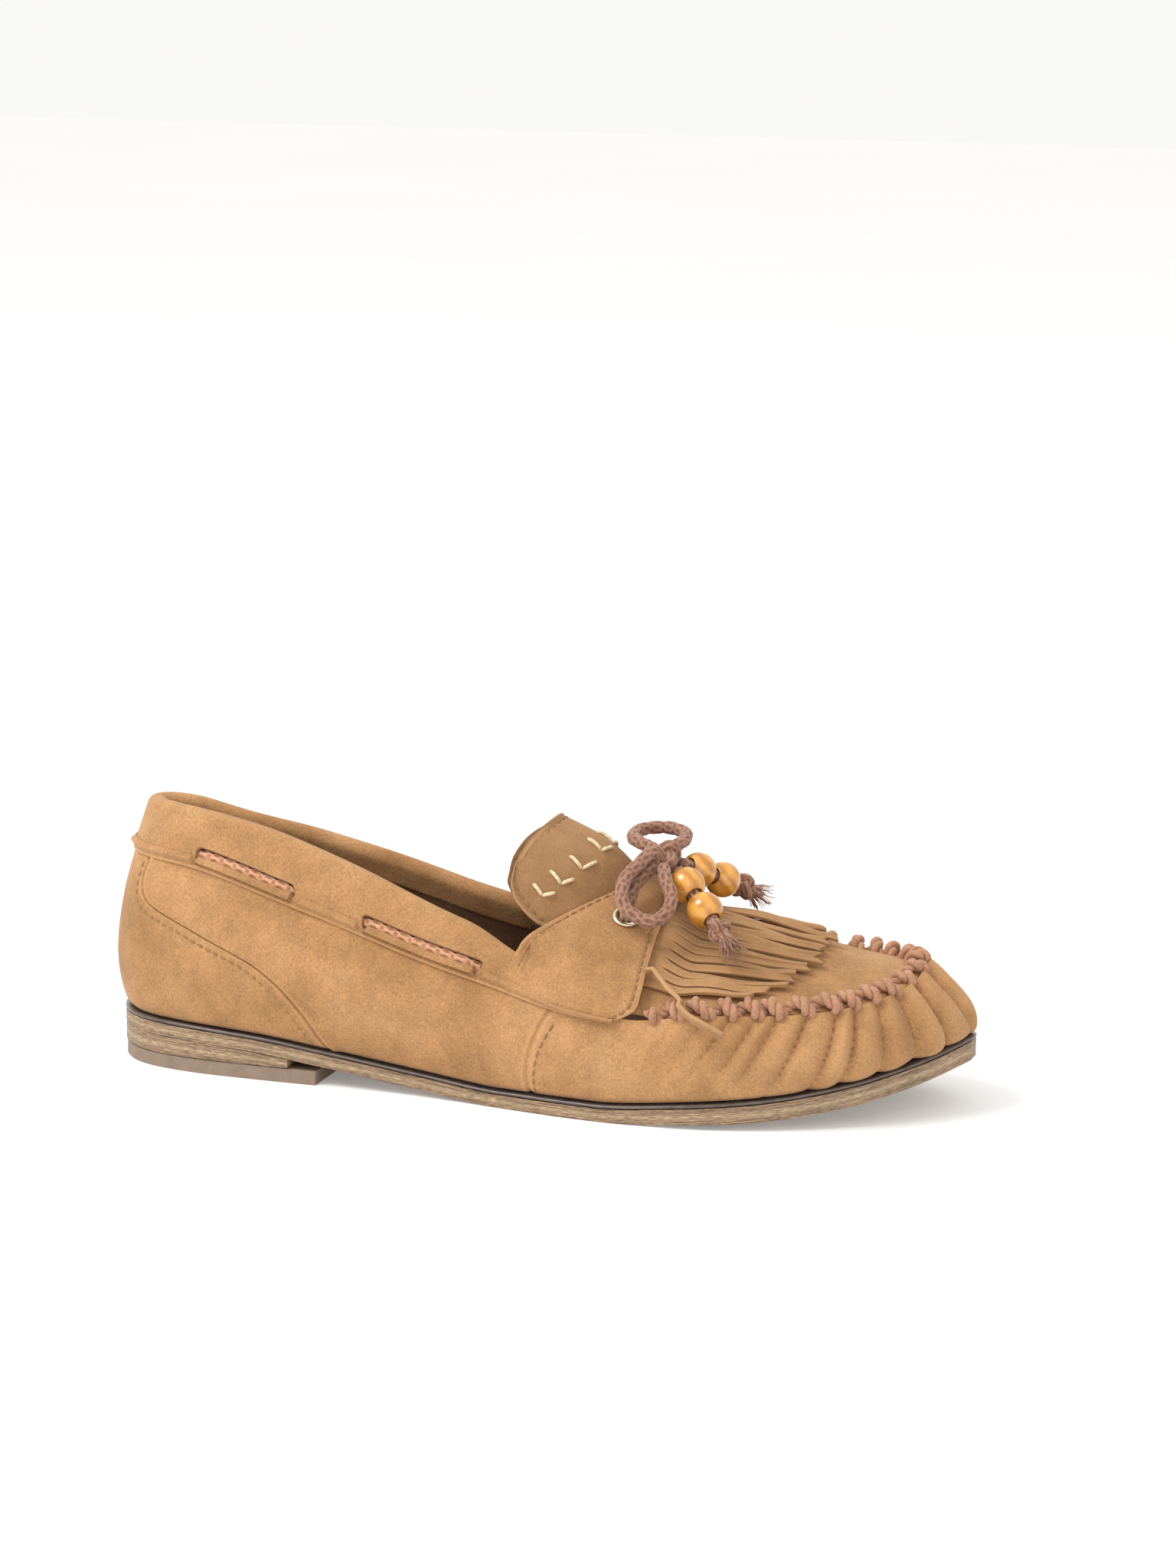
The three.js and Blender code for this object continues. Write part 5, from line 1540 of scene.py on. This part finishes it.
def soleLayer(name, inset, start, end, top, bottom, look, node, rows=150, ease=None, crown=0.0):
    closeStart, closeEnd = start == 0, end == sizes["length"]
    first = start + (inset + 0.02 if closeStart else 0)
    last = end - (inset + 0.22 if closeEnd else 0)
    t = np.linspace(0, 1, rows)
    if closeStart and closeEnd:
        t = (1 - np.cos(np.pi * t)) / 2
    elif closeStart:
        t = 1 - np.cos(np.pi * t / 2)
    x = mix(first, last, np.clip(t, 0.0006, 0.9994))
    near, far = edgeAt(x, -1, inset), edgeAt(x, 1, inset)
    columns = 9
    w = np.linspace(0, 1, columns)
    swell = crown * np.sin(np.pi * w) ** 0.5
    above = np.stack([np.stack([x, mix(near, far, k), top(x) + swell[i]], axis=1)
                      for i, k in enumerate(w)], axis=1)
    below = np.stack([np.stack([x, mix(near, far, k), bottom(x)], axis=1) for k in w[::-1]], axis=1)
    down = np.linspace(0, 1, 7)[1:-1]
    farSide = np.stack([np.stack([x, far, mix(top(x), bottom(x), k)], axis=1) for k in down], axis=1)
    nearSide = np.stack([np.stack([x, near, mix(bottom(x), top(x), k)], axis=1) for k in down], axis=1)
    ring = np.concatenate([above, farSide, below, nearSide], axis=1)
    count = ring.shape[1]
    faces = gridFaces(rows, count, closeColumns=True)
    faces += [tuple(range(count))[::-1], tuple((rows - 1) * count + k for k in range(count))]
    run = np.concatenate([[0], np.cumsum(np.hypot(np.diff(x), np.diff(near)))])
    height = np.concatenate([np.zeros(columns), down, np.ones(columns), down[::-1]])
    tall = np.maximum(top(x) - bottom(x), 0.2)
    shift = np.concatenate([w, np.ones(len(down)), w[::-1], np.zeros(len(down))]) * 97.0
    uv = np.stack([run[:, None] + shift[None, :], -height[None, :] * tall[:, None]], axis=2)
    uv = uv.reshape(-1, 2) * 0.001
    band = bellAt(height, 0.52, 0.13) * 0.8
    toneAndPaintedLight = np.broadcast_to(band, (rows, count)).ravel()
    obj = addMesh(name, place(ring.reshape(-1, 3)), faces, uv, toneAndPaintedLight)
    facesOut(obj)
    easeEdges(obj, (sole["ease"] if ease is None else ease) * 0.001, 50, 3)
    applyAll(obj)
    smoothBy(obj, 40)
    return finishPiece(obj, "shoe", look, (node,))


def randBand():
    s = np.linspace(0, lastStation, 421)[:-1]
    top = soleTop(soleEdge(s)[:, 0])
    out = outward(s)
    sections = []
    for inset, drop in ((4.6, 0.0), (0.45, 0.0), (0.12, 0.06), (-0.12, 0.3), (-0.15, 0.5), (-0.05, 0.75),
                        (0.2, 0.9), (4.6, 0.9)):
        p = soleEdge(s) - out * inset
        p[:, 2] = top - drop
        sections.append(p)
    ring = np.stack(sections, axis=1)
    faces = gridFaces(len(s), ring.shape[1], True, True)
    obj = addMesh("randBand", place(ring.reshape(-1, 3)), faces, ring.reshape(-1, 3)[:, :2] * 0.001)
    facesOut(obj)
    smoothBy(obj, 60)
    return finishPiece(obj, "shoe", "rand", ("rand",))


soleLayer("outsoleStack", 0, 0, sizes["length"], outsoleTop, outsoleBottom, "stack", "outsole",
          260)
soleLayer("heelWedgeStack", 0.1, 0, sole["wedgeEnd"], lambda x: outsoleBottom(x) - 0.12,
          lambda x: 0 * x + sole["liftTop"] + 0.3, "stack", "heel_wedge", 120, ease=0.25)
soleLayer("heelLiftPad", 0.4, 0, sole["breast"], lambda x: 0 * x + sole["liftTop"], lambda x: 0 * x, "lift",
          "heel_lift", 130)
randBand()


def insoleTop(x):
    return outsoleTop(x) + 2 * sizes["gap"] + sole["filler"] + sole["insole"]


sockPad = soleLayer("sockPad", sizes["footbedInset"], 0, sizes["length"],
                    lambda x: insoleTop(x) + sizes["gap"] + sole["sock"],
                    lambda x: insoleTop(x) + sizes["gap"],
                    "lining", "sock_liner", 150, ease=0.5, crown=0.5)
print("sole made")


# ---------- lining ----------
a = np.linspace(0, 1, 300)[:, None]
s = mix(float(innerStation(133)), float(outerStation(133)), a) * np.ones((1, 40))
b = np.linspace(0, 1, 40)[None, :]
v = mix(0.0, 1 - 2.6 / wallHeight(s), b)
grip = -0.35 * np.exp(-((np.abs(around(0, s)) - 50) / 0.7) ** 2)
base = wall(s, v)
depth = -sizes["liningDepth"] + 0.1 + grip + 0.2 * unevenness(base, 8, 5)
lining = leatherSkin("quarterLining", wall(s, v, depth), sizes["quarterLining"], insideShoe)
finishPiece(lining, "shoe", "lining", ("quarter_lining",))
a = np.linspace(0, 1, 160)[:, None]
s = mix(float(outerStation(136)), float(innerStation(136)) + lastStation, a) * np.ones((1, 24))
v = mix(0.01, 0.96, np.linspace(0, 1, 24)[None, :])
vampInside = leatherSkin("vampLining", wall(s, v, -3.5), sizes["lining"], insideShoe)
finishPiece(vampInside, "shoe", "lining", ("vamp_lining",))
x, w, width = apronGrid(60, 40, 5.1, 237.8)
apronInside = leatherSkin("apronLining", apron(x, w, -2.6), sizes["lining"], insideShoe)
finishPiece(apronInside, "shoe", "lining", ("apron_lining",))
for node, look in (("insole_board", "board"), ("bottom_filler", "board"), ("heel_stiffener", "board"),
                   ("toe_puff", "board"), ("shank", "steel")):
    hidden = bpy.data.objects[node]
    if not hidden.material_slots:
        hidden.data.materials.append(finishes[look])
    for hiddenSlot in hidden.material_slots:
        hiddenSlot.material = finishes[look]
print("lining made")


# ---------- the bow and tail cords, read back from their tables; nothing more is done with them ---
for side in ("lateral", "medial"):
    bow, route = bowCords[side]
    tail, route = tailCords[side]


# ---------- studio ----------
studio = {
    "floor": (0.80, 0.795, 0.785), "glow": 0.2, "world": 0.95,
    "lights": (("key", (-0.9, -0.7, 1.5), 0.9, 22), ("fill", (1.2, -1.6, 1.1), 1.6, 9)),
}


def makeStudio():
    bpy.ops.object.select_all(action="DESELECT")
    bpy.ops.mesh.primitive_plane_add(size=8, location=(0, 1.0, 0))
    floor = bpy.context.object
    floor.name = "paleFloor"
    mat, nodes, links, shader = newMaterial("paleFloor")
    here = objectPlace(nodes)
    tone = addRamp(nodes, links, addNoise(nodes, links, here, 3, 2, 0.4),
                   [(0.3, tuple(c * 0.985 for c in studio["floor"])), (0.7, studio["floor"])])
    links.new(tone, shader.inputs["Base Color"])
    setInputs(shader, {"Roughness": 0.9, "Emission Color": (1, 1, 1, 1),
                       "Emission Strength": studio["glow"]})
    floor.data.materials.append(mat)
    world = bpy.data.worlds.new("studioLight")
    world.use_nodes = True
    world.node_tree.nodes["Background"].inputs["Color"].default_value = (1, 0.995, 0.985, 1)
    world.node_tree.nodes["Background"].inputs["Strength"].default_value = studio["world"]
    bpy.context.scene.world = world
    for name, at, size, power in studio["lights"]:
        light = bpy.data.lights.new(name, "AREA")
        light.size, light.energy = size, power
        lamp = bpy.data.objects.new(name, light)
        bpy.context.scene.collection.objects.link(lamp)
        lamp.location = at
        lamp.rotation_euler = (Vector((0, 0, 0.02)) - Vector(at)).to_track_quat("-Z", "Y").to_euler()
    bpy.context.scene.view_settings.view_transform = "Standard"


makeStudio()
